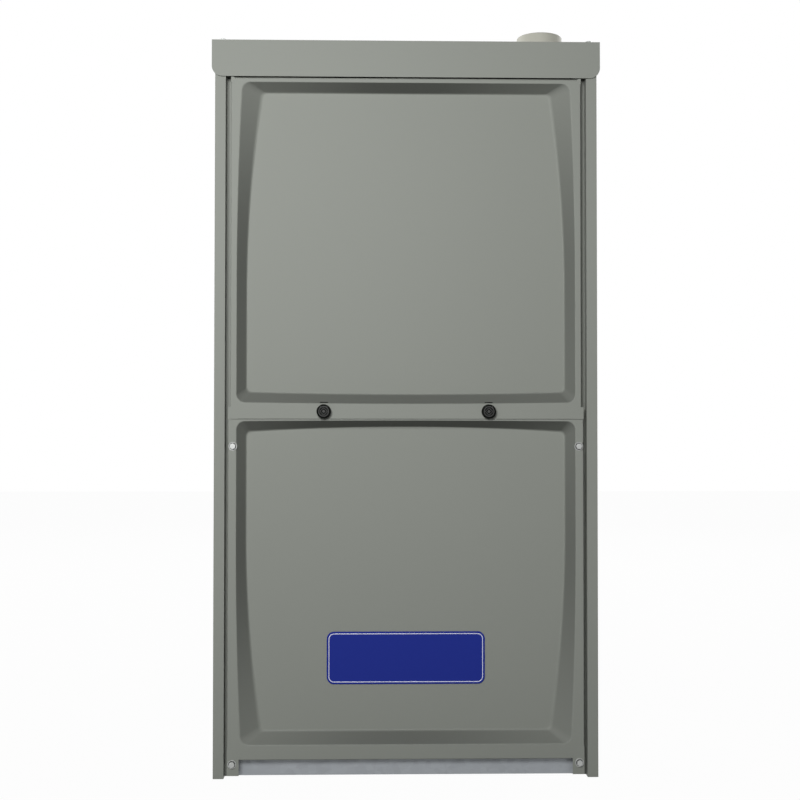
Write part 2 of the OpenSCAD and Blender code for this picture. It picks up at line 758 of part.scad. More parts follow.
// One primary tube: three passes joined by two U-bends
module primary_tube() {
  y0 = vestibule_y + sheet;
  runs = [[y0, tube_back], [tube_front, tube_back], [tube_front, header_y]];
  for (i = [0 : 2]) tube_y(0, pass_z[i], runs[i][0], runs[i][1] - runs[i][0], tube_r, tube_wall);
  translate([0, tube_back, pass_z[0] - bend_r]) tube_bend(1);
  translate([0, tube_front, pass_z[1] - bend_r]) tube_bend(-1);
}

// A half-turn bend that bulges towards +Y or -Y
module tube_bend(dir) {
  rotate([0, -90, 0]) rotate([0, 0, dir > 0 ? 0 : 180])
    rotate_extrude(angle = 180) translate([bend_r, 0]) difference() {
      circle(r = tube_r);
      circle(r = tube_r - tube_wall);
    }
}

module primary_tubes() {
  color([0.62, 0.6, 0.58]) placed() for (i = [0 : burner_count - 1]) {
    translate([burner_x(i), 0, 0]) primary_tube();
  }
}

module rear_header() {
  wall = 2;
  x1 = coil_hw;
  color([0.6, 0.6, 0.6]) placed() difference() {
    block([-x1, x1], [header_y, header_y + header_l], [coil_z0, header_z1]);
    block([-x1 + wall, x1 - wall], [header_y + wall, header_y + header_l - wall],
          [coil_z0 + wall, header_z1 - wall]);
    for (i = [0 : burner_count - 1]) {
      rod_y(burner_x(i), pass_z[2], header_y - 1, wall + 2, tube_r - tube_wall);
    }
  }
}

// The finned secondary coil, with its tubes' rows ending in the collector box's opening
module secondary_coil() {
  y0 = vestibule_y + sheet + 20;
  row_r = 8;
  color([0.75, 0.76, 0.78]) placed() {
    block([-coil_hw, coil_hw], [y0, header_y], [coil_z0, coil_z1]);
    for (row = [0 : 1], i = [-6 : 6]) {
      rod_y(i * 24 + row * 4 - 2, coil_z0 + 28 + row * 38, collector_back, y0 - collector_back + 1, row_r);
    }
  }
}

collector_back = vestibule_y + sheet + seat_gap;
collector_x0 = -166;

// The plastic box over the coil's front, which gathers the flue gas and the condensate
module collector_box() {
  z1 = inducer_z + 60;
  y1 = vestibule_y - seat_gap;
  step_x = inducer_x - 60;
  color([0.2, 0.2, 0.21]) placed() difference() {
    union() {
      block([collector_x0, in_x - 12], [collector_y, y1], [coil_z0 + 2, coil_z1 - 2]);
      block([step_x, in_x - 12], [collector_y, y1], [coil_z0 + 2, z1]);
      rod_y(drain_port_x, drain_port_z, collector_y - 14, 15, 7);
    }
    block([collector_x0 + 3, in_x - 15], [collector_y + 3, y1 + 1], [coil_z0 + 5, coil_z1 - 5]);
    rod_y(inducer_x, inducer_z, collector_y - 1, y1 - collector_y - 3, 34);
    block([inducer_x - 30, inducer_x + 30], [collector_y + 3, y1 - 3], [coil_z1 - 6, inducer_z]);
    rod_y(drain_port_x, drain_port_z, collector_y - 15, 22, 5);
  }
}

drain_port_x = collector_x0 + 16;
drain_port_z = coil_z0 + 18;

// ---- Inducer and venting ----

inducer_r0 = inducer_wheel_r + 8;
inducer_r1 = 118;

function scroll_r(a, r0, r1) = r0 + (r1 - r0) * (a - 90) / 270;

// A spiral casing that starts over the wheel and opens upwards on its right
module scroll(r0, r1, top, inset) {
  polygon(concat(
    [for (a = [90 : 10 : 360]) let (r = scroll_r(a, r0, r1) - inset) [r * cos(a), r * sin(a)]],
    [[r1 - inset, top], [inset, top]]));
}

module inducer_housing() {
  wall = 2.5;
  top = inducer_r0 + 2;
  color([0.16, 0.16, 0.17]) placed() difference() {
    union() {
      translate([inducer_x, 0, inducer_z]) plate_at(inducer_y, inducer_l)
        scroll(inducer_r0, inducer_r1, top, 0);
      translate([vent_x, vent_y, inducer_z + 20]) cylinder(r = vent_od / 2, h = stub_top - inducer_z - 20);
    }
    translate([inducer_x, 0, inducer_z]) plate_at(inducer_y + wall, inducer_l - 2 * wall)
      scroll(inducer_r0, inducer_r1, top - wall, wall);
    translate([vent_x, vent_y, inducer_z + 10]) cylinder(r = vent_od / 2 - 3, h = stub_top - inducer_z);
    rod_y(inducer_x, inducer_z, inducer_y - 1, wall + 2, 12);
    rod_y(inducer_x, inducer_z, inducer_y + inducer_l - wall - 1, wall + 2, 30);
    rod_y(tap_x, inducer_z, inducer_y - 1, wall + 2, 2);
  }
}

inducer_shaft_r = 4;
tap_x = inducer_x - 62;

// The inducer's rotor: bladed wheel in the housing, shaft, and a cooling fan ahead of the motor
module inducer_wheel() {
  y0 = inducer_y + 14;
  blades = 16;
  color([0.35, 0.36, 0.38]) placed() translate([inducer_x, 0, inducer_z]) {
    rod_y(0, 0, fan_y - 6, y0 - fan_y + 34, inducer_shaft_r);
    plate_at(y0 + 24, 2) circle(r = inducer_wheel_r);
    plate_at(y0, 25) for (i = [0 : blades - 1]) rotate(i * 360 / blades)
      polygon([[26, 0], [inducer_wheel_r - 1, 9], [inducer_wheel_r - 2, 11], [25, 2]]);
    rod_y(0, 0, y0 + 10, 16, 12);
    rod_y(0, 0, fan_y - 4, 12, 10);
    for (i = [0 : 4]) rotate([0, i * 72, 0]) translate([8, fan_y, -8]) cube([30, 2, 16]);
  }
}

module inducer_motor() {
  y0 = fan_y + 14;
  y1 = inducer_y - 2;
  color([0.3, 0.3, 0.31]) placed() translate([inducer_x, 0, inducer_z]) difference() {
    union() {
      rod_y(0, 0, y0, y1 - y0 - 10, inducer_motor_r);
      rod_y(0, 0, y0 + 6, y1 - y0 - 22, inducer_motor_r + 5);
      for (i = [0 : 2]) rotate([0, 90 + i * 120, 0]) {
        translate([inducer_motor_r - 6, y1 - 24, -5]) cube([16, 25.7, 10]);
      }
    }
    rod_y(0, 0, y0 - 1, y1 - y0 + 4, inducer_shaft_r + run_gap);
  }
}

clamp_w = 12;
coupling_z0 = stub_top - 26;
coupling_l = 80;
coupling_wall = 5;
pipe_z0 = stub_top + 8;

module vent_coupling() {
  color([0.12, 0.12, 0.12]) placed() translate([vent_x, vent_y, coupling_z0]) difference() {
    cylinder(r = vent_od / 2 + coupling_wall, h = coupling_l);
    translate([0, 0, -1]) cylinder(r = vent_od / 2 + run_gap, h = coupling_l + 2);
  }
}

module vent_pipe() {
  color([0.72, 0.72, 0.67]) placed() translate([vent_x, vent_y, pipe_z0]) difference() {
    cylinder(r = vent_od / 2, h = vent_top - pipe_z0);
    translate([0, 0, -1]) cylinder(r = vent_od / 2 - vent_wall, h = vent_top - pipe_z0 + 2);
  }
}

module vent_clamps() {
  r = vent_od / 2 + coupling_wall + run_gap;
  color("silver") placed() for (z = [coupling_z0 + 6, coupling_z0 + coupling_l - 6 - clamp_w]) {
    translate([vent_x, vent_y, z]) difference() {
      union() {
        cylinder(r = r + 0.8, h = clamp_w);
        translate([-9, -r - 9, 0]) cube([18, 11, clamp_w]);
      }
      translate([0, 0, -1]) cylinder(r = r, h = clamp_w + 2);
    }
  }
}

// A rubber ring that seals the pipe in the lid, with a groove for the lid's edge
module vent_gasket() {
  r = vent_od / 2 + run_gap;
  groove_r = cap_hole_r - slip;
  color([0.1, 0.1, 0.1]) placed() translate([vent_x, vent_y, 0]) rotate_extrude() polygon([
    [r, cap_under - 3], [r + 6, cap_under - 3],
    [r + 6, cap_under - touch], [groove_r, cap_under - touch],
    [groove_r, cab_h + touch], [r + 6, cab_h + touch],
    [r + 6, cab_h + 1.5], [r + 4, cab_h + 3], [r, cab_h + 3]]);
}

// ---- Burners and gas train ----

module burner_box() {
  z0 = burner_z - 44;
  z1 = burner_z + 44;
  y1 = vestibule_y - seat_gap;
  color("silver") placed() difference() {
    union() {
      difference() {
        block([-box_hw, box_hw], [box_y, y1], [z0, z1]);
        block([-box_hw + sheet, box_hw - sheet], [box_y + sheet, y1 + 1], [z0 + sheet, z1 - sheet]);
      }
      difference() {
        block([-box_hw - 10, box_hw + 10], [y1 - sheet, y1], [z0 - 10, z1 + 8]);
        block([-box_hw + sheet, box_hw - sheet], [y1 - 2 * sheet, y1 + 1], [z0 + sheet, z1 - sheet]);
      }
    }
    for (i = [0 : burner_count - 1]) rod_y(burner_x(i), burner_z, box_y - 1, sheet + 2, 13);
    rod_y(igniter_x, burner_z - 24, box_y - 1, sheet + 2, 5);
    rod_y(-igniter_x, burner_z - 24, box_y - 1, sheet + 2, 3);
    for (sx = [-1, 1]) rod_y(sx * rollout_x, rollout_z, box_y - 1, sheet + 2, 6);
  }
}

igniter_x = burner_x(burner_count - 1) + 8;
rollout_x = box_hw - 20;
rollout_z = burner_z + 30;

// An in-shot burner: air shutter, venturi throat and flame head, hollow from end to end
module burner() {
  y0 = box_y + 8;
  y1 = vestibule_y - 6;
  rotate([-90, 0, 0]) rotate_extrude() polygon([
    [14, y0], [16, y0], [16, y0 + 12], [10.5, y0 + 34], [10.5, y0 + 52], [18, y1 - 24], [18, y1],
    [16.5, y1], [16.5, y1 - 24], [9, y0 + 52], [9, y0 + 34], [14, y0 + 12]]);
}

// The burners, tied to each other and to the box by a carry-over bar
module burners() {
  y_bar = vestibule_y - 30;
  color([0.55, 0.53, 0.5]) placed() {
    difference() {
      block([-box_hw + sheet + seat_gap, box_hw - sheet - seat_gap], [y_bar, y_bar + 2],
            [burner_z - 20, burner_z + 20]);
      for (i = [0 : burner_count - 1]) rod_y(burner_x(i), burner_z, y_bar - 1, 4, 17);
    }
    for (i = [0 : burner_count - 1]) translate([burner_x(i), 0, burner_z]) burner();
  }
}

module gas_manifold() {
  x0 = valve_x0 + valve_w;
  x1 = burner_x(burner_count - 1) + 26;
  color([0.16, 0.16, 0.16]) placed() difference() {
    union() {
      rod_x(manifold_y, burner_z, x0, x1 - x0, manifold_r);
      rod_x(manifold_y, burner_z, x1 - 4, 12, manifold_r + 3);
      for (sx = [-1, 1]) block([sx * (box_hw - 14) - 8, sx * (box_hw - 14) + 8],
                              [manifold_y, box_y - touch], [burner_z - 3, burner_z + 3]);
    }
    rod_x(manifold_y, burner_z, x0 - 1, x1 - x0, manifold_r - 2.8);
    for (i = [0 : burner_count - 1]) rod_y(burner_x(i), burner_z, manifold_y, manifold_r + 1, 4.05);
  }
}

// Brass gas jets screwed into the manifold, one for each burner
module gas_orifices() {
  color("goldenrod") placed() for (i = [0 : burner_count - 1]) {
    translate([burner_x(i), manifold_y, burner_z]) rotate([-90, 0, 0]) difference() {
      union() {
        translate([0, 0, manifold_r - 2]) cylinder(r = 4, h = 3);
        translate([0, 0, manifold_r]) cylinder(d = 12.7 / cos(30), h = 7, $fn = 6);
        translate([0, 0, manifold_r + 6]) cylinder(r = 4.5, h = 6);
      }
      translate([0, 0, manifold_r - 4]) cylinder(r = 0.8, h = 20);
    }
  }
}

valve_y = manifold_y - 32;
valve_l = 62;
valve_z0 = burner_z - 42;
valve_z1 = burner_z + 38;
valve_knob_z = burner_z + 14;
valve_knob_x = valve_x0 + valve_w / 2;

module gas_valve() {
  color([0.55, 0.56, 0.58]) placed() difference() {
    union() {
      block([valve_x0, valve_x0 + valve_w], [valve_y, valve_y + valve_l], [valve_z0, valve_z1]);
      block([valve_x0 + 8, valve_x0 + valve_w - 8], [valve_y + 8, valve_y + valve_l - 8],
            [valve_z1, valve_z1 + 22]);
      rod_x(manifold_y, burner_z, valve_x0 - 12, 13, 16);
    }
    rod_x(manifold_y, burner_z, valve_x0 - 13, 26, 9.5);
    rod_y(valve_knob_x, valve_knob_z, valve_y - 1, 13, 4 + run_gap);
  }
}

// The valve's on/off knob, with a bar to grip across its face
module gas_valve_knob() {
  color([0.1, 0.1, 0.1]) placed() translate([valve_knob_x, valve_y, valve_knob_z]) {
    rod_y(0, 0, -8, 7.7, 15);
    rod_y(0, 0, -8, 18, 4);
    translate([-3, -16, -13]) cube([6, 9, 26]);
  }
}

module igniter() {
  y0 = box_y - 14;
  color([0.85, 0.84, 0.8]) placed() {
    rod_y(igniter_x, burner_z - 24, box_y - 14, 44, 4.8);
    block([igniter_x - 9, igniter_x + 9], [y0, box_y - touch], [burner_z - 31, burner_z - 17]);
    block([igniter_x - 4, igniter_x + 4], [y0 + 40, vestibule_y - 34], [burner_z - 26, burner_z - 22.5]);
  }
}

module flame_sensor() {
  color([0.8, 0.8, 0.82]) placed() {
    rod_y(-igniter_x, burner_z - 24, box_y - 10, 30, 2.8);
    rod_y(-igniter_x, burner_z - 24, box_y - 6, 5.9, 6);
    rod_y(-igniter_x, burner_z - 24, box_y - 20, vestibule_y - 34 - box_y + 20, 1.2);
  }
}

button_r = 2;

module rollout_switches() {
  color([0.15, 0.15, 0.15]) placed() for (sx = [-1, 1]) translate([sx * rollout_x, 0, rollout_z]) {
    difference() {
      union() {
        rod_y(0, 0, box_y - 11, 10.9, 9);
        block([-14, 14], [box_y - 1.2, box_y - touch], [-5, 5]);
      }
      rod_y(0, 0, box_y - 12, 8, button_r + run_gap);
    }
  }
}

module reset_button(x) {
  color([0.75, 0.1, 0.1]) placed() translate([x, 0, rollout_z]) {
    rod_y(0, 0, box_y - 14, 7.5, button_r);
  }
}

module reset_button_left() {
  reset_button(-rollout_x);
}

module reset_button_right() {
  reset_button(rollout_x);
}

// ---- Controls in the vestibule ----

switch_x = -95;
switch_z = 618;
switch_y = vestibule_y - 54;
switch_r = 36;

module pressure_switch() {
  color([0.2, 0.21, 0.24]) placed() {
    rod_y(switch_x, switch_z, switch_y, 24, switch_r);
    rod_y(switch_x, switch_z, switch_y + 6, 12, switch_r + 4);
    rod_y(switch_x, switch_z, switch_y - 14, 15, 2.6);
    block([switch_x - 20, switch_x + 20], [switch_y + 24, vestibule_y - touch],
          [switch_z - 12, switch_z + 12]);
  }
}

hose_r = 3.4;
port_y = inducer_y - 12;

// The sensing hose, from the switch's nipple to the inducer housing's tap
module pressure_hose() {
  tip = switch_y - 14;
  color([0.08, 0.08, 0.08]) placed() hose([
    [switch_x, tip, switch_z], [switch_x, tip - 14, switch_z], [switch_x + 22, tip - 42, switch_z + 6],
    [switch_x + 62, tip - 56, switch_z + 6], [tap_x - 18, port_y - 34, inducer_z + 14],
    [tap_x, port_y - 8, inducer_z], [tap_x, inducer_y, inducer_z]], hose_r, 5);
}

limit_x = -175;
limit_z = 660;
limit_r = 9;

module limit_switch() {
  color([0.7, 0.7, 0.7]) placed() {
    rod_y(limit_x, limit_z, vestibule_y - 12, 40, limit_r);
    block([limit_x - 16, limit_x + 16], [vestibule_y - 2, vestibule_y - touch], [limit_z - 11, limit_z + 11]);
  }
}

trap_x = [-hx + 20, -hx + 82];
trap_y = [62, 128];
trap_z = [deck_top, deck_top + 96];
trap_inlet = [-hx + 62, 100];

// The condensate trap stands on the blower deck, with its outlet facing the side panel's hole
module condensate_trap() {
  color([0.14, 0.14, 0.15]) placed() difference() {
    union() {
      block(trap_x, trap_y, trap_z);
      translate([trap_inlet[0], trap_inlet[1], trap_z[1]]) cylinder(r = 8, h = 14);
      rod_x(drain_y, drain_z, trap_x[0] - 14, 15, 10);
    }
    rod_x(drain_y, drain_z, trap_x[0] - 15, 26, 7);
    translate([trap_inlet[0], trap_inlet[1], trap_z[1] - 30]) cylinder(r = 5.5, h = 50);
  }
}

// The drain hose, from the collector box's port down to the trap's inlet
module drain_hose() {
  start_y = collector_y - 14;
  top = trap_z[1] + 14;
  color([0.75, 0.75, 0.72]) placed() hose([
    [drain_port_x, start_y, drain_port_z], [drain_port_x, start_y - 16, drain_port_z],
    [drain_port_x + 4, start_y - 50, drain_port_z + 30], [drain_port_x + 2, 150, top + 34],
    [trap_inlet[0] + 2, 116, top + 42], [trap_inlet[0], trap_inlet[1], top + 16],
    [trap_inlet[0], trap_inlet[1], top]], 7, 5);
}

// ---- Controls in the blower compartment ----

bracket_x = [-hx + 16, 96];
bracket_y = 112;
bracket_z0 = 300;

module control_bracket() {
  color("silver") placed() {
    block(bracket_x, [bracket_y, bracket_y + sheet], [bracket_z0, deck_z]);
    block(bracket_x, [bracket_y, bracket_y + 22], [deck_z - sheet, deck_z]);
    block(bracket_x, [bracket_y - 8, bracket_y + sheet], [bracket_z0, bracket_z0 + sheet]);
  }
}

board_x = [-hx + 26, -hx + 176];
board_z = [bracket_z0 + 14, bracket_z0 + 112];
board_y = bracket_y - 10;

// The control board on its posts, with relays, terminal blocks, a fuse and capacitors
module control_board() {
  w = board_x[1] - board_x[0];
  color([0.1, 0.35, 0.2]) placed() {
    block(board_x, [board_y, board_y + 1.6], board_z);
    for (x = [board_x[0] + 8, board_x[1] - 8], z = [board_z[0] + 8, board_z[1] - 8]) {
      rod_y(x, z, board_y + 1, bracket_y - board_y - 1, 3);
    }
    for (i = [0 : 3]) block([board_x[0] + 12 + i * 24, board_x[0] + 30 + i * 24], [board_y - 16, board_y + 1],
                            [board_z[1] - 34, board_z[1] - 12]);
    block([board_x[0] + 14, board_x[0] + w * 0.55], [board_y - 10, board_y + 1],
          [board_z[0] + 6, board_z[0] + 16]);
    block([board_x[0] + w * 0.62, board_x[0] + w * 0.9], [board_y - 12, board_y + 1],
          [board_z[0] + 6, board_z[0] + 20]);
    for (i = [0 : 1]) rod_y(board_x[1] - 32 - i * 18, board_z[0] + 44, board_y - 18, 19, 6.5);
    block([board_x[0] + 14, board_x[0] + 44], [board_y - 6, board_y + 1], [board_z[0] + 30, board_z[0] + 52]);
    block([board_x[0] + 56, board_x[0] + 76], [board_y - 9, board_y + 1], [board_z[0] + 34, board_z[0] + 40]);
  }
}

module transformer() {
  x = [24, 84];
  y1 = bracket_y - touch;
  z = [bracket_z0 + 58, bracket_z0 + 108];
  color([0.5, 0.42, 0.25]) placed() {
    block(x, [y1 - 46, y1 - 10], z);
    block([x[0] + 14, x[1] - 14], [y1 - 56, y1], [z[0] + 6, z[1] - 6]);
    block([x[0] - 10, x[1] + 10], [y1 - 12, y1 - 10], [z[0] + 4, z[1] - 4]);
    for (sx = [x[0] - 10, x[1] + 4]) block([sx, sx + 6], [y1 - 11, y1], [z[0] + 4, z[1] - 4]);
  }
}

// The line-voltage box, behind the cable entry hole in the right-hand side panel
module junction_box() {
  x = [in_x - 62, in_x - seat_gap];
  y = [cable_y - 42, cable_y + 42];
  z = [cable_z - 36, cable_z + 36];
  color("silver") placed() difference() {
    block(x, y, z);
    block([x[0] + 1.2, x[1] - 1.2], [y[0] + 1.2, y[1] - 1.2], [z[0] + 1.2, z[1] - 1.2]);
    rod_x(cable_y, cable_z, x[1] - 2.5, 5, cable_hole_r);
    rod_x(cable_y, cable_z, x[0] - 1, 4, 8);
  }
}

door_switch_x = 120;
door_switch_z = rail_z0 - 22;
switch_nose_y = recess_depth + sheet + 7;
plunger_r = 2.5;

// The safety switch under the cross rail, which cuts the power while the lower door is off
module door_switch() {
  color([0.1, 0.1, 0.1]) placed() difference() {
    union() {
      block([door_switch_x - 14, door_switch_x + 14], [switch_nose_y + 6, switch_nose_y + 42],
            [door_switch_z - 11, door_switch_z + 11]);
      block([door_switch_x - 14, door_switch_x + 14], [rail_y + 9, switch_nose_y + 12],
            [door_switch_z + 10, rail_z0]);
      rod_y(door_switch_x, door_switch_z, switch_nose_y, 7, 6);
    }
    rod_y(door_switch_x, door_switch_z, switch_nose_y - 1, 24, plunger_r + run_gap);
  }
}

module door_switch_plunger() {
  y0 = recess_depth + sheet + seat_gap;
  color([0.85, 0.85, 0.85]) placed() rod_y(door_switch_x, door_switch_z, y0, 26, plunger_r);
}

harness_x = -60;
harness_y = 78;

// Two wire bundles through the deck: one to the gas valve, one to the inducer motor
module wiring_harness() {
  z0 = board_z[1] - 12;
  color([0.1, 0.1, 0.12]) placed() {
    hose([[harness_x - 4, board_y, z0 + 18], [harness_x - 4, board_y - 10, z0 + 19],
          [harness_x - 4, harness_y, deck_z - 6], [harness_x - 4, harness_y, deck_top + 16],
          [harness_x - 12, harness_y + 2, deck_top + 90], [harness_x - 52, harness_y + 6, deck_top + 190],
          [valve_knob_x + 14, valve_y + 22, valve_z0 - 34], [valve_knob_x + 8, valve_y + 30, valve_z0 - 10],
          [valve_knob_x + 8, valve_y + 30, valve_z0]], 3, 4, 8);
    hose([[harness_x + 4, board_y, z0 + 18], [harness_x + 4, board_y - 10, z0 + 19],
          [harness_x + 4, harness_y, deck_z - 6], [harness_x + 4, harness_y, deck_top + 16],
          [harness_x + 14, harness_y + 6, deck_top + 60], [inducer_x - 70, fan_y + 20, inducer_z - 60],
          [inducer_x - 20, fan_y + 40, inducer_z - inducer_motor_r - 26],
          [inducer_x, fan_y + 44, inducer_z - inducer_motor_r - 14],
          [inducer_x, fan_y + 44, inducer_z - inducer_motor_r - 5]], 3, 4, 8);
  }
}

// ---- Blower ----

outlet_x0 = blower_x;
outlet_x1 = blower_x + scroll_r1;
inlet_r = wheel_r - 18;

module blower_scroll(inset, top) {
  translate([blower_x, blower_z]) scroll(scroll_r0, scroll_r1, top - blower_z, inset);
}

module blower_housing() {
  color("silver") placed() {
    difference() {
      plate_at(housing_y, housing_l) blower_scroll(0, deck_z);
      plate_at(housing_y + sheet, housing_l - 2 * sheet) blower_scroll(sheet, deck_z + 5);
      rod_y(blower_x, blower_z, housing_y - 1, housing_l + 2, inlet_r);
    }
    for (y = [housing_y - 7, housing_y + housing_l - 1]) difference() {
      rod_y(blower_x, blower_z, y, 8, inlet_r + 4);
      rod_y(blower_x, blower_z, y - 1, 10, inlet_r);
    }
    block([outlet_x0 - 14, outlet_x0 + sheet], [housing_y, housing_y + housing_l], [deck_z - sheet, deck_z]);
    block([outlet_x1 - sheet, outlet_x1 + 14], [housing_y, housing_y + housing_l], [deck_z - sheet, deck_z]);
  }
}

// The squirrel-cage wheel: curved blades between two rings, and a disc with a hub in the middle
module blower_wheel() {
  blade_in = wheel_r - 21;
  color([0.7, 0.71, 0.73]) placed() translate([blower_x, 0, blower_z]) {
    plate_at(wheel_y, wheel_l) for (i = [0 : blade_count - 1]) rotate(i * 360 / blade_count)
      polygon([[blade_in, 0], [blade_in + 7, 3.4], [blade_in + 14, 5.6], [wheel_r - 1, 6.4],
               [wheel_r - 1, 7.8], [blade_in + 14, 7], [blade_in + 7, 4.8], [blade_in, 1.4]]);
    for (y = [wheel_y - 1, wheel_y + wheel_l - 5]) tube_y(0, 0, y, 6, wheel_r, 8);
    difference() {
      union() {
        plate_at(hub_y, 2) circle(r = wheel_r - 4);
        rod_y(0, 0, hub_y - 8, 26, 18);
      }
      rod_y(0, 0, hub_y - 9, 28, shaft_r);
    }
  }
}

module blower_shaft() {
  y0 = motor_y + motor_l - 24;
  color([0.6, 0.6, 0.62]) placed() rod_y(blower_x, blower_z, y0, hub_y + 26 - y0, shaft_r);
}

module blower_motor() {
  color([0.32, 0.33, 0.34]) placed() translate([blower_x, 0, blower_z]) difference() {
    union() {
      rod_y(0, 0, motor_y, motor_l, motor_r);
      rod_y(0, 0, motor_y - 8, 9, motor_r - 12);
      rod_y(0, 0, motor_y + motor_l - 1, 7, 22);
      block([-18, 18], [motor_y + 6, motor_y + 60], [motor_r - 8, motor_r + 12]);
    }
    rod_y(0, 0, motor_y + motor_l - 25, 40, shaft_r + run_gap);
  }
}

// The motor mount: a band round the motor and three arms bent back to the housing's inlet side
module motor_mount() {
  band_y = motor_y + 12;
  arm_r = inlet_r + 12;
  color([0.65, 0.66, 0.68]) placed() translate([blower_x, 0, blower_z]) difference() {
    union() {
      rod_y(0, 0, band_y, 22, motor_r + 2);
      for (a = [30, 150, 270]) rotate([0, -a, 0]) {
        translate([motor_r, band_y + 6, -7]) cube([arm_r - motor_r + 5, 4, 14]);
        translate([arm_r, band_y + 6, -7]) cube([5, housing_y - band_y - 6, 14]);
        translate([arm_r, housing_y - 3, -12]) cube([16, 3, 24]);
      }
    }
    rod_y(0, 0, band_y - 1, 24, motor_r + run_gap);
    block([-18.5, 18.5], [band_y - 1, band_y + 23], [motor_r - 12, motor_r + 12.5]);
  }
}

left_side_panel();
right_side_panel();
back_panel();
top_cap();
supply_collar();
base_frame();
bottom_rail();
cross_rail();
blower_deck();
vestibule_panel();
upper_door();
lower_door();
door_badge();
knob_left();
knob_right();
knob_receptacles();
lower_door_screws();
casing_screws();
hole_plugs();
insulation_blanket();
primary_tubes();
rear_header();
secondary_coil();
collector_box();
inducer_housing();
inducer_wheel();
inducer_motor();
vent_coupling();
vent_pipe();
vent_clamps();
vent_gasket();
burner_box();
burners();
gas_manifold();
gas_orifices();
gas_valve();
gas_valve_knob();
igniter();
flame_sensor();
rollout_switches();
reset_button_left();
reset_button_right();
pressure_switch();
pressure_hose();
limit_switch();
condensate_trap();
drain_hose();
control_bracket();
control_board();
transformer();
junction_box();
blower_housing();
blower_wheel();
blower_shaft();
blower_motor();
motor_mount();
door_switch();
door_switch_plunger();
wiring_harness();
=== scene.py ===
# %% [markdown]
# # A forced-air gas furnace
# The object is a tall painted steel cabinet with two pressed doors. Behind the doors sit burners,
# a heat exchanger, a blower and their controls. The frame holds every part at its real size, so
# this file only gives the parts their finish: soft bends in the sheet metal, turned screws, cast
# skins, and the many small repeated things that a solid model leaves out.

# %% Open the frame
import json
import math

import bmesh
import bpy
from mathutils import Matrix, Vector
from mathutils.geometry import delaunay_2d_cdt

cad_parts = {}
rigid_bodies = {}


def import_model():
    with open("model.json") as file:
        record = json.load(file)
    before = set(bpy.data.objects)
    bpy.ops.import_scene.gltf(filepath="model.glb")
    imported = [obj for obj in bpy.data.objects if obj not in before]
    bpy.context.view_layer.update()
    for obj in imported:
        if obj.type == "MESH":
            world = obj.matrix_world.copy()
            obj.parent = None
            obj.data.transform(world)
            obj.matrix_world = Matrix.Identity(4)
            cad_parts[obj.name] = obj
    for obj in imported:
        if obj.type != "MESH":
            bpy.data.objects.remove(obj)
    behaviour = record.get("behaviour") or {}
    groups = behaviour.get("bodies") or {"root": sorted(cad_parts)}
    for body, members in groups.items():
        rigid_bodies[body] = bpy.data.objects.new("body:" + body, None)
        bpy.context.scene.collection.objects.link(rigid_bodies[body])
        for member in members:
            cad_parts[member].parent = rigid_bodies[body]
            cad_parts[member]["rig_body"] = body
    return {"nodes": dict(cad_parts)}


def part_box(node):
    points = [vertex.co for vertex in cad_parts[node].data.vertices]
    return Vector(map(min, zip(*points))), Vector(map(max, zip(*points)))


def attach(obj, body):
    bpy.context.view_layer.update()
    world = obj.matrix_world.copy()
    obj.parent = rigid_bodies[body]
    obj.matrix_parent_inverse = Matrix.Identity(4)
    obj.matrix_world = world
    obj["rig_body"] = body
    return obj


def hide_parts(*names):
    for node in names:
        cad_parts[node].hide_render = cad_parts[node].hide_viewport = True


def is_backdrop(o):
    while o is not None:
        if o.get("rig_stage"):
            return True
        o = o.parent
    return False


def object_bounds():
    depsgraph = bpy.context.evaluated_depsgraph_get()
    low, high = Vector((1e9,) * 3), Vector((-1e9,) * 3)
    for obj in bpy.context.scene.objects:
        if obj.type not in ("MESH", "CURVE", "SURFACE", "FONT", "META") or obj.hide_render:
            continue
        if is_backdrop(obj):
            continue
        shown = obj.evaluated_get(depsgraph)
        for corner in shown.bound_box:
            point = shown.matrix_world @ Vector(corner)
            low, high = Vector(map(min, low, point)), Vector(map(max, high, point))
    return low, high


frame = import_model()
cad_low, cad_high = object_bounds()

scene = bpy.context.scene

# %% [markdown]
# Sizes are easiest to read in millimetres, measured as a fitter would: across from the middle,
# back from the face of the corner posts, and up from the floor. One small function turns such a
# place into a point in the frame.

# %% Millimetres into the frame
MM = 0.001
POST_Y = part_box("left_side_panel")[0].y
FRONT, REAR, DEPTHWISE, UP = (0, -1, 0), (0, 1, 0), (0, 1, 0), (0, 0, 1)
LEFT, RIGHT = (-1, 0, 0), (1, 0, 0)


def at(x, depth, z):
    return Vector((x * MM, POST_Y + depth * MM, z * MM))


def size_mm(node):
    """A node's lowest and highest corner as (across, depth, up) in millimetres."""
    return [(v.x / MM, (v.y - POST_Y) / MM, v.z / MM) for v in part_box(node)]


CAB_HALF = -size_mm("left_side_panel")[0][0]
LID_LOW, LID_HIGH = size_mm("top_cap")
print("half width", round(CAB_HALF, 2), "lid", [round(v, 1) for v in LID_LOW + LID_HIGH])

# %% [markdown]
# ## The camera
# The picture was taken almost square-on from just over a metre away. The straight edges of the
# cabinet tell where the camera stood: a little left of the middle, below mid-height, turned
# slightly right and tipped slightly up. The three axes of the camera are worked out from those
# angles.

# %% Camera
FOCAL_PX, FRAME_PX, SENSOR_MM = 1250.0, 800, 36.0
CAMERA_PLACE = at(-39.592, -1447.843, 405.07)
YAW, PITCH, ROLL = 0.022261, 0.021086, 0.000503

forward = Vector((math.sin(YAW) * math.cos(PITCH), math.cos(YAW) * math.cos(PITCH),
                  math.sin(PITCH)))
right = Vector((math.cos(YAW), -math.sin(YAW), 0))
up = right.cross(forward)
right, up = (right * math.cos(ROLL) + up * math.sin(ROLL),
             up * math.cos(ROLL) - right * math.sin(ROLL))

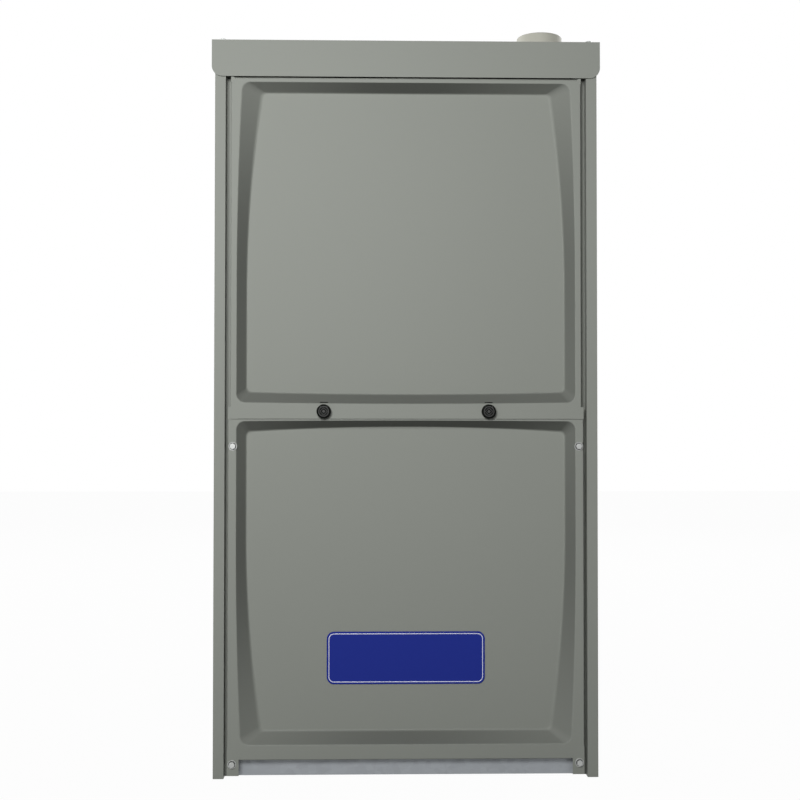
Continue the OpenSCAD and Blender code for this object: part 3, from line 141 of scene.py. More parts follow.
camera_data = bpy.data.cameras.new("portrait_camera")
camera_data.sensor_width = SENSOR_MM
camera_data.lens = FOCAL_PX * SENSOR_MM / FRAME_PX
camera_data.clip_end = 50
camera = bpy.data.objects.new("portrait_camera", camera_data)
axes = Matrix((right, up, -forward)).transposed()
camera.matrix_world = Matrix.Translation(CAMERA_PLACE) @ axes.to_4x4()
scene.collection.objects.link(camera)
scene.camera = camera
print("camera at", [round(v, 3) for v in camera.location], "lens", camera_data.lens)

# %% [markdown]
# ## Formulas in node trees
# `put` adds a node and sets or links its inputs. `ask` does the same for a node that is only there
# for one output, and gives that output back as a `Value`. Values take the usual signs, each of
# which adds a Math node, so that a formula in a tree reads like any other formula.

# %% Helpers for node trees


def plain(value):
    return value.socket if isinstance(value, Value) else value


def put(tree, kind, settings=None, **inputs):
    """Adds a node. Settings are its own choices, and inputs are numbers, colours or sockets."""
    node = tree.nodes.new(kind)
    for key, value in (settings or {}).items():
        setattr(node, key, value)
    for key, value in inputs.items():
        by_number = key[0] == "i" and key[1:].isdigit()
        socket = node.inputs[int(key[1:]) if by_number else key.replace("_", " ")]
        value = plain(value)
        if isinstance(value, bpy.types.NodeSocket):
            tree.links.new(value, socket)
        else:
            socket.default_value = value
    return node


def ask(tree, kind, settings=None, output=0, **inputs):
    return Value(tree, put(tree, kind, settings, **inputs).outputs[output])


class Value:
    """What one socket gives out."""

    def __init__(self, tree, socket):
        self.tree, self.socket = tree, socket

    def of(self, operation, other=0.0):
        return ask(self.tree, "ShaderNodeMath", {"operation": operation}, i0=self, i1=other)

    def _after(self, operation, other):
        return ask(self.tree, "ShaderNodeMath", {"operation": operation}, i0=other, i1=self)

    def __add__(self, other):
        return self.of("ADD", other)

    def __sub__(self, other):
        return self.of("SUBTRACT", other)

    def __mul__(self, other):
        return self.of("MULTIPLY", other)

    def __truediv__(self, other):
        return self.of("DIVIDE", other)

    def __rsub__(self, other):
        return self._after("SUBTRACT", other)

    def __rtruediv__(self, other):
        return self._after("DIVIDE", other)


def given_to(tree):
    """What comes into a group, by name."""
    return {socket.name: Value(tree, socket) for socket in tree.nodes["Group Input"].outputs}


# %% [markdown]
# ## Room and light
# The furnace stands on a plain pale floor. A soft lamp close to the camera's line lights the
# front, as in the photograph. Two at the sides and one behind light the other faces, and an even
# pale world fills the rest. The background is white because the world and the floor say so to
# camera and mirror rays, and not because the lamps are strong: the paint has to render about as it
# is written.

# %% World and floor
WHITE_BACKDROP = (1, 1, 1, 1)
FILL_COLOUR, FILL_STRENGTH = (0.96, 0.98, 1.0, 1), 0.05
FLOOR_HALF, FLOOR_DROP = 6.0, 0.0004
FLOOR_COLOUR, FLOOR_GLOW_SHARE = (0.3, 0.3, 0.3, 1), 0.975


def mixed(tree, lit, backdrop, share=1.0):
    """Two shaders, the second for rays that only look: camera, glossy and transmission rays."""
    path = put(tree, "ShaderNodeLightPath").outputs
    looks = Value(tree, path["Is Camera Ray"]).of("MAXIMUM", path["Is Glossy Ray"])
    looks = looks.of("MAXIMUM", path["Is Transmission Ray"])
    return ask(tree, "ShaderNodeMixShader", i0=looks * share, i1=lit, i2=backdrop)


world = bpy.data.worlds.new("studio")
scene.world = world
world.use_nodes = True
tree = world.node_tree
tree.nodes.clear()
fill_light = ask(tree, "ShaderNodeBackground", Color=FILL_COLOUR, Strength=FILL_STRENGTH)
backdrop = ask(tree, "ShaderNodeBackground", Color=WHITE_BACKDROP, Strength=1.0)
put(tree, "ShaderNodeOutputWorld", Surface=mixed(tree, fill_light, backdrop))

floor_mesh = bpy.data.meshes.new("floor")
floor_mesh.from_pydata([(x * FLOOR_HALF, y * FLOOR_HALF, 0) for x, y in
                        ((-1, -1), (1, -1), (1, 1), (-1, 1))], [], [(0, 1, 2, 3)])
floor = bpy.data.objects.new("floor", floor_mesh)
floor.location.z = -FLOOR_DROP
scene.collection.objects.link(floor)
floor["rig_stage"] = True

floor_material = bpy.data.materials.new("pale_floor")
floor_material.use_nodes = True
tree = floor_material.node_tree
tree.nodes.clear()
floor_paint = ask(tree, "ShaderNodeBsdfDiffuse", Color=FLOOR_COLOUR)
floor_glow = ask(tree, "ShaderNodeEmission", Color=WHITE_BACKDROP, Strength=1.0)
put(tree, "ShaderNodeOutputMaterial",
    Surface=mixed(tree, floor_paint, floor_glow, FLOOR_GLOW_SHARE))
floor_mesh.materials.append(floor_material)
print("world and floor ready")

# %% Lamps
scene.view_settings.view_transform = "Standard"


def soft_lamp(name, place, aim, width, height, watts):
    data = bpy.data.lights.new(name, "AREA")
    data.shape = "RECTANGLE"
    data.size, data.size_y, data.energy = width, height, watts
    lamp = bpy.data.objects.new(name, data)
    lamp.location = place
    lamp.rotation_euler = (Vector(aim) - Vector(place)).to_track_quat("-Z", "Y").to_euler()
    scene.collection.objects.link(lamp)


soft_lamp("front_window", (-0.36, -1.72, 0.94), (-0.02, 0, 0.6), 0.7, 0.5, 19.8)
soft_lamp("side_left", (-2.3, 1.4, 1.3), (0, 0.1, 0.5), 1.4, 1.4, 58)
soft_lamp("side_right", (2.3, 1.4, 1.3), (0, 0.1, 0.5), 1.4, 1.4, 52)
soft_lamp("back_window", (0.3, 2.7, 1.7), (0, 0, 0.5), 1.8, 1.4, 52)

# %% [markdown]
# ## Shader groups
# Several finishes share the same small effects: the faint orange peel of sprayed paint, the
# crystal spangle of zinc, the skin of a casting or moulding, the tint left by heat. Each is a node
# group with named sockets. A group only gives out values, and the Principled BSDF stays in the
# material.

# %% Helpers for shader groups


def shader_group(name, inputs, numbers=("Roughness", "Height")):
    """An empty group that gives out a colour and some numbers. Inputs map a name to its default."""
    group = bpy.data.node_groups.new(name, "ShaderNodeTree")
    for label, default in inputs.items():
        kind = "NodeSocketColor" if isinstance(default, tuple) else "NodeSocketFloat"
        socket = group.interface.new_socket(label, in_out="INPUT", socket_type=kind)
        socket.default_value = default
    group.interface.new_socket("Colour", in_out="OUTPUT", socket_type="NodeSocketColor")
    for label in numbers:
        group.interface.new_socket(label, in_out="OUTPUT", socket_type="NodeSocketFloat")
    group.nodes.new("NodeGroupInput")
    group.nodes.new("NodeGroupOutput")
    return group, given_to(group)


def give(group, **results):
    """Links what a group has worked out to its outputs."""
    for label, value in results.items():
        group.links.new(plain(value), group.nodes["Group Output"].inputs[label])
    print("group", group.name)


def object_point(tree, stretch=(1, 1, 1)):
    """The point on the object, stretched along each axis."""
    here = ask(tree, "ShaderNodeTexCoord", output="Object")
    return ask(tree, "ShaderNodeMapping", Vector=here, Scale=stretch)


def noise(tree, where, scale, detail, **more):
    return ask(tree, "ShaderNodeTexNoise", Vector=where, Scale=scale, Detail=detail, **more)


def scaled(tree, colour, gain):
    return ask(tree, "ShaderNodeVectorMath", {"operation": "SCALE"}, i0=colour, Scale=gain)


def blend_colours(tree, share, a, b, how):
    return ask(tree, "ShaderNodeMix", {"data_type": "RGBA", "blend_type": how}, output=2,
               i0=share, i6=a, i7=b)


# %% [markdown]
# ### Sprayed paint
# Powder paint on a furnace is satin, slightly mottled in tone, with an orange peel about two
# millimetres across that only shows in the highlights. Two noises make it: a broad one for the
# tone and a fine one for the height. On the steep walls of a recess the group also darkens the
# colour as painted shade, and more so on the walls that face up or down. The doors carry an
# attribute, "steep", that tells the paint where those walls are.

# %% Sprayed paint group
paint_group, given = shader_group(
    "sprayed_paint",
    {"Colour": (0.3, 0.3, 0.3, 1), "Tone change": 0.03, "Peel size": 480.0, "Roughness": 0.42,
     "Thin on walls": 0.0, "Thin across": 0.0, "Steepest": 0.55})
where = object_point(paint_group)
cloud = noise(paint_group, where, 3.2, 3.0)
speck = noise(paint_group, where, 900.0, 1.0)
shift = (cloud * 0.75 + speck * 0.25 - 0.5) * given["Tone change"]
# Painted shade: the colour darkens on steep recess walls, and more where they face up or down.
steep = ask(paint_group, "ShaderNodeAttribute", {"attribute_name": "steep"}, output="Fac")
wall = steep.of("MINIMUM", given["Steepest"])
normal = ask(paint_group, "ShaderNodeNewGeometry", output="Normal")
facing_up = ask(paint_group, "ShaderNodeSeparateXYZ", output=2, Vector=normal)
level = facing_up.of("ABSOLUTE") * given["Thin across"]
gain = (shift + 1.0) * (1.0 - wall * (given["Thin on walls"] + level))
give(paint_group, Colour=scaled(paint_group, given["Colour"], gain),
     Roughness=given["Roughness"] + (cloud - 0.5) * 0.1,
     Height=noise(paint_group, where, given["Peel size"], 2.0, Roughness=0.4))

# %% [markdown]
# ### Zinc spangle
# Hot-dip galvanised sheet shows crystals about a centimetre across, each catching the light in its
# own way, and faint rolling lines. Voronoi cells give each crystal its own tone and gloss.

# %% Zinc spangle group
ROLLING_STRETCH = (900, 900, 6)
zinc_group, given = shader_group(
    "zinc_spangle",
    {"Colour": (0.6, 0.62, 0.64, 1), "Crystal size": 95.0, "Contrast": 0.16, "Roughness": 0.34})
where = object_point(zinc_group)
wobble = noise(zinc_group, where, 60.0, 2.0, output="Color")
warped = blend_colours(zinc_group, 0.012, where, wobble, "ADD")
crystals = ask(zinc_group, "ShaderNodeTexVoronoi", output="Color", Vector=warped,
               Scale=given["Crystal size"])
split = put(zinc_group, "ShaderNodeSeparateColor", Color=crystals)
tone, gloss = (Value(zinc_group, split.outputs[i]) for i in (0, 1))
lines = noise(zinc_group, object_point(zinc_group, ROLLING_STRETCH), 1.0, 2.0)
gain = (tone - 0.5) * given["Contrast"] + 0.97 + lines * 0.06
give(zinc_group, Colour=scaled(zinc_group, given["Colour"], gain),
     Roughness=given["Roughness"] + gloss * 0.16, Height=lines)

# %% [markdown]
# ### Moulded and cast skins
# Moulded plastic, rubber and cast aluminium share one idea: a fine pebbled skin with a slow change
# of tone. The size and depth of the pebbles tell them apart.

# %% Skin group
skin_group, given = shader_group(
    "pebbled_skin",
    {"Colour": (0.1, 0.1, 0.1, 1), "Grain size": 700.0, "Tone change": 0.12, "Roughness": 0.5})
where = object_point(skin_group)
patches = noise(skin_group, where, 14.0, 3.0)
shift = (patches - 0.5) * given["Tone change"]
give(skin_group, Colour=scaled(skin_group, given["Colour"], shift * 2.0 + 1.0),
     Roughness=given["Roughness"] + shift,
     Height=noise(skin_group, where, given["Grain size"], 3.0, Roughness=0.6))

# %% [markdown]
# ### Heat tint
# Steel that has been near a flame turns straw, then brown and blue. The tint grows towards the
# burners, so the group mixes in the colours by the distance from the burner plane.

# %% Heat tint group
BURNER_Z = 760.0
TINTS = ((0.35, (0.95, 0.82, 0.55, 1)), (0.62, (0.62, 0.42, 0.3, 1)))
heat_group, given = shader_group(
    "heat_tint",
    {"Colour": (0.5, 0.5, 0.48, 1), "Centre height": BURNER_Z * MM, "Reach": 0.14, "Strength": 0.7},
    numbers=("Mask",))
height = ask(heat_group, "ShaderNodeSeparateXYZ", output=2, Vector=object_point(heat_group))
near = 1.0 - (height - given["Centre height"]).of("ABSOLUTE") / given["Reach"]
mask = near * noise(heat_group, object_point(heat_group), 22.0, 4.0) * given["Strength"]
ramp = put(heat_group, "ShaderNodeValToRGB", Fac=mask)
ramp.color_ramp.elements[0].color = (1, 1, 1, 1)
ramp.color_ramp.elements[1].color = (0.42, 0.44, 0.66, 1)
for share, colour in TINTS:
    ramp.color_ramp.elements.new(share).color = colour
give(heat_group, Mask=mask,
     Colour=blend_colours(heat_group, 1.0, given["Colour"], ramp.outputs[0], "MULTIPLY"))

# %% [markdown]
# ## Finishes
# One function makes a material from a group, so that each finish below is a short list of values:
# the group's own inputs by name, the height of its bumps in millimetres, and what is the same all
# over a surface, such as Metallic, which is set on the shader itself.

# %% Material helper


def finish_of(name, group, colour, bump=0.0, metallic=0.0, coat=0.0, specular=0.5, roughness=0.5,
              **values):
    """A material. The plain roughness is for groups that give out none."""
    material = bpy.data.materials.new(name)
    material.use_nodes = True
    tree = material.node_tree
    shader = tree.nodes["Principled BSDF"]
    effect = tree.nodes.new("ShaderNodeGroup")
    effect.node_tree = group
    effect.inputs["Colour"].default_value = (*colour, 1)
    for label, value in values.items():
        effect.inputs[label.replace("_", " ")].default_value = value
    tree.links.new(effect.outputs["Colour"], shader.inputs["Base Color"])
    if "Roughness" in effect.outputs:
        tree.links.new(effect.outputs["Roughness"], shader.inputs["Roughness"])
    else:
        shader.inputs["Roughness"].default_value = roughness
    if bump:
        raised = put(tree, "ShaderNodeBump", Strength=0.6, Distance=bump * MM,
                     Height=effect.outputs["Height"])
        tree.links.new(raised.outputs[0], shader.inputs["Normal"])
    shader.inputs["Metallic"].default_value = metallic
    shader.inputs["Coat Weight"].default_value = coat
    shader.inputs["Specular IOR Level"].default_value = specular
    return material


def skin(name, colour, grain, bump=0.01, **settings):
    return finish_of(name, skin_group, colour, bump, Grain_size=grain, **settings)


# %% Cabinet finishes
# The two wall-shade values put painted shade on the walls of the door recesses.
cabinet_paint = finish_of("cabinet_paint", paint_group, (0.270, 0.283, 0.256), 0.03, specular=0.12,
                          Tone_change=0.035, Roughness=0.5, Thin_on_walls=0.76, Thin_across=0.32)
zinc_sheet = finish_of("zinc_sheet", zinc_group, (0.46, 0.48, 0.50), 0.01, metallic=0.7,
                       Roughness=0.4)
rail_zinc = finish_of("rail_zinc", zinc_group, (0.32, 0.34, 0.36), 0.01, metallic=0.35,
                      Crystal_size=120, Contrast=0.08, Roughness=0.5)
screw_zinc = skin("screw_zinc", (0.42, 0.43, 0.42), 1500, metallic=0.4, Tone_change=0.1,
                  Roughness=0.42)
# The near-black screw dish is painted shade round each hex head.
screw_dish_painted_shade = skin("screw_dish_painted_shade", (0.04, 0.042, 0.04), 1500, specular=0.2, Tone_change=0.1,
                    Roughness=0.6)
badge_blue = finish_of("badge_blue", paint_group, (0.013, 0.027, 0.255), 0.01, specular=0.12,
                       Tone_change=0.06, Peel_size=260)
badge_rim = skin("badge_rim", (0.62, 0.63, 0.74), 900, metallic=0.4, Roughness=0.35)
black_plastic = skin("black_plastic", (0.02, 0.021, 0.021), 800, 0.02, specular=0.35)
knob_black = skin("knob_black", (0.005, 0.006, 0.005), 900, specular=0.06, Roughness=0.6)
knob_painted_highlight = skin("knob_painted_highlight", (0.06, 0.061, 0.06), 900, specular=0.2)
vent_plastic = skin("vent_plastic", (0.56, 0.555, 0.485), 300, specular=0.12, Tone_change=0.05,
                    Roughness=0.55)
rubber_black = skin("rubber_black", (0.02, 0.02, 0.021), 500, 0.03, Roughness=0.7)
print("cabinet finishes ready")

# %% Finishes for the inside
aluminised = skin("aluminised", (0.42, 0.41, 0.39), 260, 0.02, metallic=0.75, Tone_change=0.22,
                  Roughness=0.42)
fin_aluminium = finish_of("fin_aluminium", zinc_group, (0.66, 0.67, 0.68), 0.01, metallic=0.9,
                          Crystal_size=300, Contrast=0.06, Roughness=0.3)
cast_aluminium = skin("cast_aluminium", (0.46, 0.47, 0.48), 420, 0.08, metallic=0.8,
                      Tone_change=0.1)
motor_black = finish_of("motor_black", paint_group, (0.022, 0.023, 0.025), 0.04, Tone_change=0.2,
                        Peel_size=300, Roughness=0.38)
black_iron = skin("black_iron", (0.03, 0.03, 0.031), 350, 0.06, metallic=0.3, Tone_change=0.2,
                  Roughness=0.55)
turned_brass = skin("turned_brass", (0.62, 0.43, 0.17), 1400, metallic=1.0, Roughness=0.28)
bright_steel = skin("bright_steel", (0.58, 0.58, 0.59), 1200, metallic=0.95, Tone_change=0.08,
                    Roughness=0.27)
ceramic_white = skin("ceramic_white", (0.72, 0.7, 0.64), 600, 0.03, Roughness=0.6)
silicon_dark = skin("silicon_dark", (0.1, 0.1, 0.105), 500, 0.02)
red_plastic = skin("red_plastic", (0.42, 0.015, 0.012), 900, Roughness=0.3)
board_green = skin("board_green", (0.018, 0.11, 0.045), 200, coat=0.2, Tone_change=0.18,
                   Roughness=0.34)
foil_blanket = skin("foil_blanket", (0.62, 0.63, 0.64), 130, 0.9, metallic=0.75, Tone_change=0.1,
                    Roughness=0.34)
hose_clear = skin("hose_clear", (0.55, 0.56, 0.54), 400, 0.02, Roughness=0.35)
white_plastic = skin("white_plastic", (0.68, 0.68, 0.66), 900, Roughness=0.4)
copper_winding = skin("copper_winding", (0.45, 0.19, 0.07), 1300, 0.02, metallic=0.8,
                      Roughness=0.35)
amber_tape = skin("amber_tape", (0.55, 0.4, 0.12), 500, 0.02, Roughness=0.35)
tube_steel = finish_of("tube_steel", heat_group, (0.4, 0.385, 0.36), metallic=0.75, roughness=0.42,
                       Reach=0.09, Strength=1.1)
burner_steel = finish_of("burner_steel", heat_group, (0.45, 0.44, 0.42), metallic=0.8,
                         roughness=0.36, Strength=1.0)
WIRE_COLOURS = {"red": (0.5, 0.02, 0.015), "blue": (0.02, 0.06, 0.36),
                "yellow": (0.62, 0.42, 0.03), "brown": (0.13, 0.05, 0.02)}
wire_red, wire_blue, wire_yellow, wire_brown = (
    skin("wire_" + name, colour, 900, Roughness=0.4) for name, colour in WIRE_COLOURS.items())
print("materials:", len(bpy.data.materials))

# %% [markdown]
# ## Which finish goes where
# The record gives each part of the furnace a material slot. The table below repeats it, with the
# finish that this file paints the slot in and the parts that belong to it.

# %% Slots
SLOTS = {
    "cabinet_paint": (cabinet_paint,
                      "left_side_panel right_side_panel back_panel top_cap upper_door lower_door"),
    "galvanised": (zinc_sheet,
                   "supply_collar base_frame bottom_rail cross_rail blower_deck vestibule_panel "
                   "knob_receptacles control_bracket junction_box blower_housing burner_box"),
    "badge_plate": (badge_blue, "door_badge"),
    "knob_plastic": (black_plastic, "knob_left knob_right"),
    "zinc_screws": (screw_zinc, "lower_door_screws casing_screws"),
    "plug_plastic": (black_plastic, "hole_plugs"),
    "blanket": (foil_blanket, "insulation_blanket"),
    "aluminised_steel": (aluminised, "primary_tubes rear_header burners"),
    "coil_fins": (fin_aluminium, "secondary_coil"),
    "black_plastic": (black_plastic,
                      "collector_box inducer_housing condensate_trap door_switch rollout_switches"),
    "rotor_steel": (zinc_sheet, "inducer_wheel blower_wheel blower_shaft"),
    "motor_paint": (motor_black, "inducer_motor blower_motor"),
    "rubber": (rubber_black, "vent_coupling vent_gasket pressure_hose"),
    "pipe_plastic": (vent_plastic, "vent_pipe"),
    "clamp_steel": (bright_steel, "vent_clamps motor_mount limit_switch flame_sensor"),
    "black_pipe": (black_iron, "gas_manifold"),
    "brass": (turned_brass, "gas_orifices"),
    "valve_casting": (cast_aluminium, "gas_valve"),
    "valve_knob": (black_plastic, "gas_valve_knob"),
    "ceramic": (ceramic_white, "igniter"),
    "reset_red": (red_plastic, "reset_button_left reset_button_right"),
    "switch_plastic": (black_plastic, "pressure_switch"),
    "drain_hose": (hose_clear, "drain_hose"),
    "circuit_board": (board_green, "control_board"),
    "transformer_iron": (motor_black, "transformer"),
    "plunger_plastic": (white_plastic, "door_switch_plunger"),
    "wire_insulation": (rubber_black, "wiring_harness"),
}
SLOT_OF = {node: slot for slot, (_, nodes) in SLOTS.items() for node in nodes.split()}
FINISH_OF = {node: SLOTS[slot][0] for node, slot in SLOT_OF.items()}
BODY_OF = {node: obj["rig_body"] for node, obj in frame["nodes"].items()}
print("nodes with a finish:", len(FINISH_OF), "of", len(BODY_OF))

# %% [markdown]
# ## Working shapes
# Real parts have no perfectly sharp edges. A folded sheet has a bend radius of about its own
# thickness, its cut edges are only just broken, and a casting is rounder still. `Build` collects
# such shapes for one part, each in its own finish, and turns them into one piece that rides on its
# body.

# %% A collector of shapes
THIN_FACE = 1.4   # a face narrower than this, in mm, is the cut edge of a sheet
BEND_ANGLE, BEND_SEGMENTS = math.radians(20), 3
EDGE_ANGLE, EDGE_SEGMENTS = math.radians(25), 2


def face_width(face):
    """Roughly the narrow width of a face, in mm."""
    edge_sum = sum(edge.calc_length() for edge in face.edges)
    return 2 * face.calc_area() / edge_sum / MM


def rounded(bm, bend, cut):
    """Rounds the edges: bends get one radius, and the cut edges of a sheet a smaller one."""
    mesh = bpy.data.meshes.new("rounding")
    weights = []
    for edge in bm.edges:
        weight = 0.0
        if len(edge.link_faces) == 2 and edge.calc_face_angle(0) > BEND_ANGLE:
            if min(face_width(face) for face in edge.link_faces) < THIN_FACE:
                weight = cut / bend
            elif edge.is_convex:
                weight = 1.0
            else:
                weight = max(bend - 1, cut) / bend
        weights.append(weight)
    bm.to_mesh(mesh)
    attribute = mesh.attributes.new("bevel_weight_edge", "FLOAT", "EDGE")
    attribute.data.foreach_set("value", weights)
    holder = bpy.data.objects.new("rounding", mesh)
    scene.collection.objects.link(holder)
    bevel = holder.modifiers.new("round", "BEVEL")
    bevel.limit_method = "WEIGHT"
    bevel.width, bevel.segments = bend * MM, BEND_SEGMENTS
    bevel.use_clamp_overlap = True
    bevel.miter_outer = "MITER_ARC"
    return baked(holder)


def baked(holder):
    """The holder's mesh with its modifiers in it. The holder itself goes."""
    graph = bpy.context.evaluated_depsgraph_get()
    mesh = bpy.data.meshes.new_from_object(holder.evaluated_get(graph), depsgraph=graph,
                                           preserve_all_data_layers=True)
    old = holder.data
    bpy.data.objects.remove(holder)
    bpy.data.meshes.remove(old)
    return mesh


def facing(axis):
    """A turn that takes +Z to the axis."""
    return Vector(axis).to_track_quat("Z", "Y").to_matrix().to_4x4()


def ring_of(radius, sides):
    """Points of a circle, or the corners of a regular outline."""
    turns = (2 * math.pi * i / sides for i in range(sides))
    return [(radius * math.cos(a), radius * math.sin(a)) for a in turns]


def soften(bm, edges, width):
    bmesh.ops.bevel(bm, geom=edges, offset=width * MM, segments=EDGE_SEGMENTS, profile=0.5,
                    affect="EDGES", clamp_overlap=True)


class Build:
    """Shapes of one part, in millimetres from its origin: across, depth, height."""

    def __init__(self, origin=(0, 0, 0)):
        self.origin = origin
        self.mesh = bmesh.new()
        self.materials = []

    def at(self, place):
        return at(*(o + p for o, p in zip(self.origin, place)))

    def _add(self, source, material, matrix=None):
        if material not in self.materials:
            self.materials.append(material)
        slot_index = self.materials.index(material)
        if isinstance(source, bmesh.types.BMesh):
            mesh = bpy.data.meshes.new("shape")
            source.to_mesh(mesh)
            source.free()
        else:
            mesh = source
        if matrix:
            mesh.transform(matrix)
        for polygon in mesh.polygons:
            polygon.material_index = slot_index
        self.mesh.from_mesh(mesh)
        bpy.data.meshes.remove(mesh)
        return self

    def box(self, low, high, material, edge=0.6):
        """A block between two corners with rounded edges."""
        a, b = self.at(low), self.at(high)
        bm = bmesh.new()
        bmesh.ops.create_cube(bm, size=1.0)
        size = b - a
        for vertex in bm.verts:
            vertex.co = (a + b) / 2 + vertex.co * size
        if edge:
            soften(bm, bm.edges[:], edge)
        return self._add(bm, material)

    def turned(self, profile, place, axis, material, sides=40):
        """A turned shape: (radius, distance along the axis) pairs, from a place in mm."""
        bm = bmesh.new()
        rings = []
        for radius, along in profile:
            spots = ring_of(radius * MM, sides) if radius > 1e-4 else [(0, 0)]
            rings.append([bm.verts.new((*spot, along * MM)) for spot in spots])
        for low, high in zip(rings, rings[1:]):
            for i in range(sides):
                j = (i + 1) % sides
                corners = (low[i % len(low)], low[j % len(low)], high[j % len(high)],
                           high[i % len(high)])
                corners = list(dict.fromkeys(corners))
                if len(corners) > 2:
                    bm.faces.new(corners)
        for ring, closing in ((rings[0], True), (rings[-1], False)):
            if len(ring) > 1 and profile[0] != profile[-1]:
                bm.faces.new(ring[::-1] if closing else ring)
        if profile[0] == profile[-1]:
            bmesh.ops.remove_doubles(bm, verts=bm.verts, dist=1e-7)
        bmesh.ops.recalc_face_normals(bm, faces=bm.faces)
        return self._add(bm, material, Matrix.Translation(self.at(place)) @ facing(axis))

    def prism(self, outline, place, axis, length, material, edge=0.4):
        """A straight bar with a given outline in mm, drawn along the axis from a place."""
        bm = bmesh.new()
        base = [bm.verts.new((x * MM, y * MM, 0)) for x, y in outline]
        tip = [bm.verts.new((x * MM, y * MM, length * MM)) for x, y in outline]
        bm.faces.new(base[::-1])
        bm.faces.new(tip)
        for i in range(len(base)):
            j = (i + 1) % len(base)
            bm.faces.new((base[i], base[j], tip[j], tip[i]))
        bmesh.ops.recalc_face_normals(bm, faces=bm.faces)
        if edge:
            soften(bm, [e for e in bm.edges if e.calc_face_angle(0) > EDGE_ANGLE], edge)
        return self._add(bm, material, Matrix.Translation(self.at(place)) @ facing(axis))

    def loft(self, loops, material, closed=False):
        """A skin over loops of places, with as many points each, capped if it is not closed."""
        bm = bmesh.new()
        rings = [[bm.verts.new(self.at(p)) for p in loop] for loop in loops]
        pairs = list(zip(rings, rings[1:])) + ([(rings[-1], rings[0])] if closed else [])
        for low, high in pairs:
            for i in range(len(low)):
                j = (i + 1) % len(low)
                bm.faces.new((low[i], low[j], high[j], high[i]))
        if not closed:
            bm.faces.new(rings[0][::-1])
            bm.faces.new(rings[-1])
        bmesh.ops.recalc_face_normals(bm, faces=bm.faces)
        return self._add(bm, material)

    def take(self, mesh, material):
        """Another mesh, in metres, as it is."""
        return self._add(mesh, material)

    def alone(self):
        """The shapes as a mesh of their own, to be copied or finished. The build ends here."""
        mesh = bpy.data.meshes.new("shapes")
        self.mesh.to_mesh(mesh)
        self.mesh.free()
        return mesh

    def node(self, node, material=None, bend=0.8, cut=0.25):
        """A copy of a CAD part with its edges rounded."""
        bm = bmesh.new()
        bm.from_mesh(frame["nodes"][node].data)
        bmesh.ops.remove_doubles(bm, verts=bm.verts, dist=2e-6)
        bmesh.ops.dissolve_limit(bm, angle_limit=math.radians(0.4), verts=bm.verts, edges=bm.edges)
        mesh = rounded(bm, bend, cut)
        bm.free()
        return self._add(mesh, material or FINISH_OF[node])

    def piece(self, node, name=None, smooth=32):
        """The finished piece, which stands for a CAD node and rides on its body."""
        mesh = self.alone()
        for material in self.materials:
            mesh.materials.append(material)
        return finished(mesh, node, name, smooth)


def finished(mesh, node, name=None, smooth=32):
    """Puts a mesh in the scene for a CAD node, with smooth shading up to an angle."""
    mesh.shade_smooth()
    mesh.set_sharp_from_angle(angle=math.radians(smooth))
    obj = bpy.data.objects.new(name or node + "_look", mesh)
    scene.collection.objects.link(obj)
    even = obj.modifiers.new("even_normals", "WEIGHTED_NORMAL")
    even.keep_sharp = True
    mesh = baked(obj)
    mesh.name = name or node + "_look"
    obj = bpy.data.objects.new(name or node + "_look", mesh)
    scene.collection.objects.link(obj)
    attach(obj, BODY_OF[node])
    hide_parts(node)
    return obj


# %% [markdown]
# ## The casing
# The lid, side panels and rails are folded sheet. Their CAD shapes are already right, so they only
# get their bend radii and broken edges. In the picture the front of the bottom rail reaches almost
# down to the floor and hides the landings behind it, so its lower edge hangs, and the landings
# stop higher.

# %% Folded sheet parts
RAIL_HANG, LANDING_LIFT = 3.1, 1.5
RAIL_PLATE, LANDING_X = 14.0, 203.0
BEND_RADII = {
    "top_cap": 1.6, "left_side_panel": 1.5, "right_side_panel": 1.5, "back_panel": 1.2,
    "supply_collar": 1.2, "base_frame": 1.2, "bottom_rail": 1.5, "cross_rail": 1.4,
    "blower_deck": 0.5, "vestibule_panel": 0.5, "knob_receptacles": 0.5, "control_bracket": 1.4}
for node, bend in BEND_RADII.items():
    sheet = Build().node(node, rail_zinc if node == "bottom_rail" else None, bend)
    for spot in (vertex.co for vertex in sheet.mesh.verts):
        near_front = spot.y - POST_Y < RAIL_PLATE * MM
        if node == "bottom_rail" and near_front and spot.z < 10 * MM:
            spot.z -= RAIL_HANG * MM
        elif "side_panel" in node and near_front and spot.z < MM and abs(spot.x) < LANDING_X * MM:
            spot.z += LANDING_LIFT * MM
    piece = sheet.piece(node)
    print(node, len(piece.data.polygons), "faces")

# %% [markdown]
# ## The doors
# Both doors are one sheet each, folded back at its edges and pressed inwards by a barrel-shaped
# die. The recess follows a rule: its sides curve in towards the far end of the cabinet, its
# corners have the die's radius, and the edge next to the knob strip sags a little. The bevel
# between rim and floor has a fillet at both ends. A Geometry Nodes tree presses that profile into
# a flat blank, from an attribute that says how far across the bevel each point lies.

# %% Helpers for Geometry Nodes
SOCKET_KINDS = {int: "NodeSocketInt", float: "NodeSocketFloat", tuple: "NodeSocketVector",
                bpy.types.Material: "NodeSocketMaterial", bpy.types.Object: "NodeSocketObject"}


def geometry_tree(name, inputs):
    """A Geometry Nodes tree. Inputs map a name to its default, or to its type if it has none."""
    tree = bpy.data.node_groups.new(name, "GeometryNodeTree")
    tree.interface.new_socket("Geometry", in_out="INPUT", socket_type="NodeSocketGeometry")
    for label, default in inputs.items():
        bare = isinstance(default, type)
        kind = SOCKET_KINDS[default if bare else type(default)]
        socket = tree.interface.new_socket(label, in_out="INPUT", socket_type=kind)
        if not bare:
            socket.default_value = default
    tree.interface.new_socket("Geometry", in_out="OUTPUT", socket_type="NodeSocketGeometry")
    tree.nodes.new("NodeGroupInput")
    tree.nodes.new("NodeGroupOutput")
    return tree, given_to(tree)


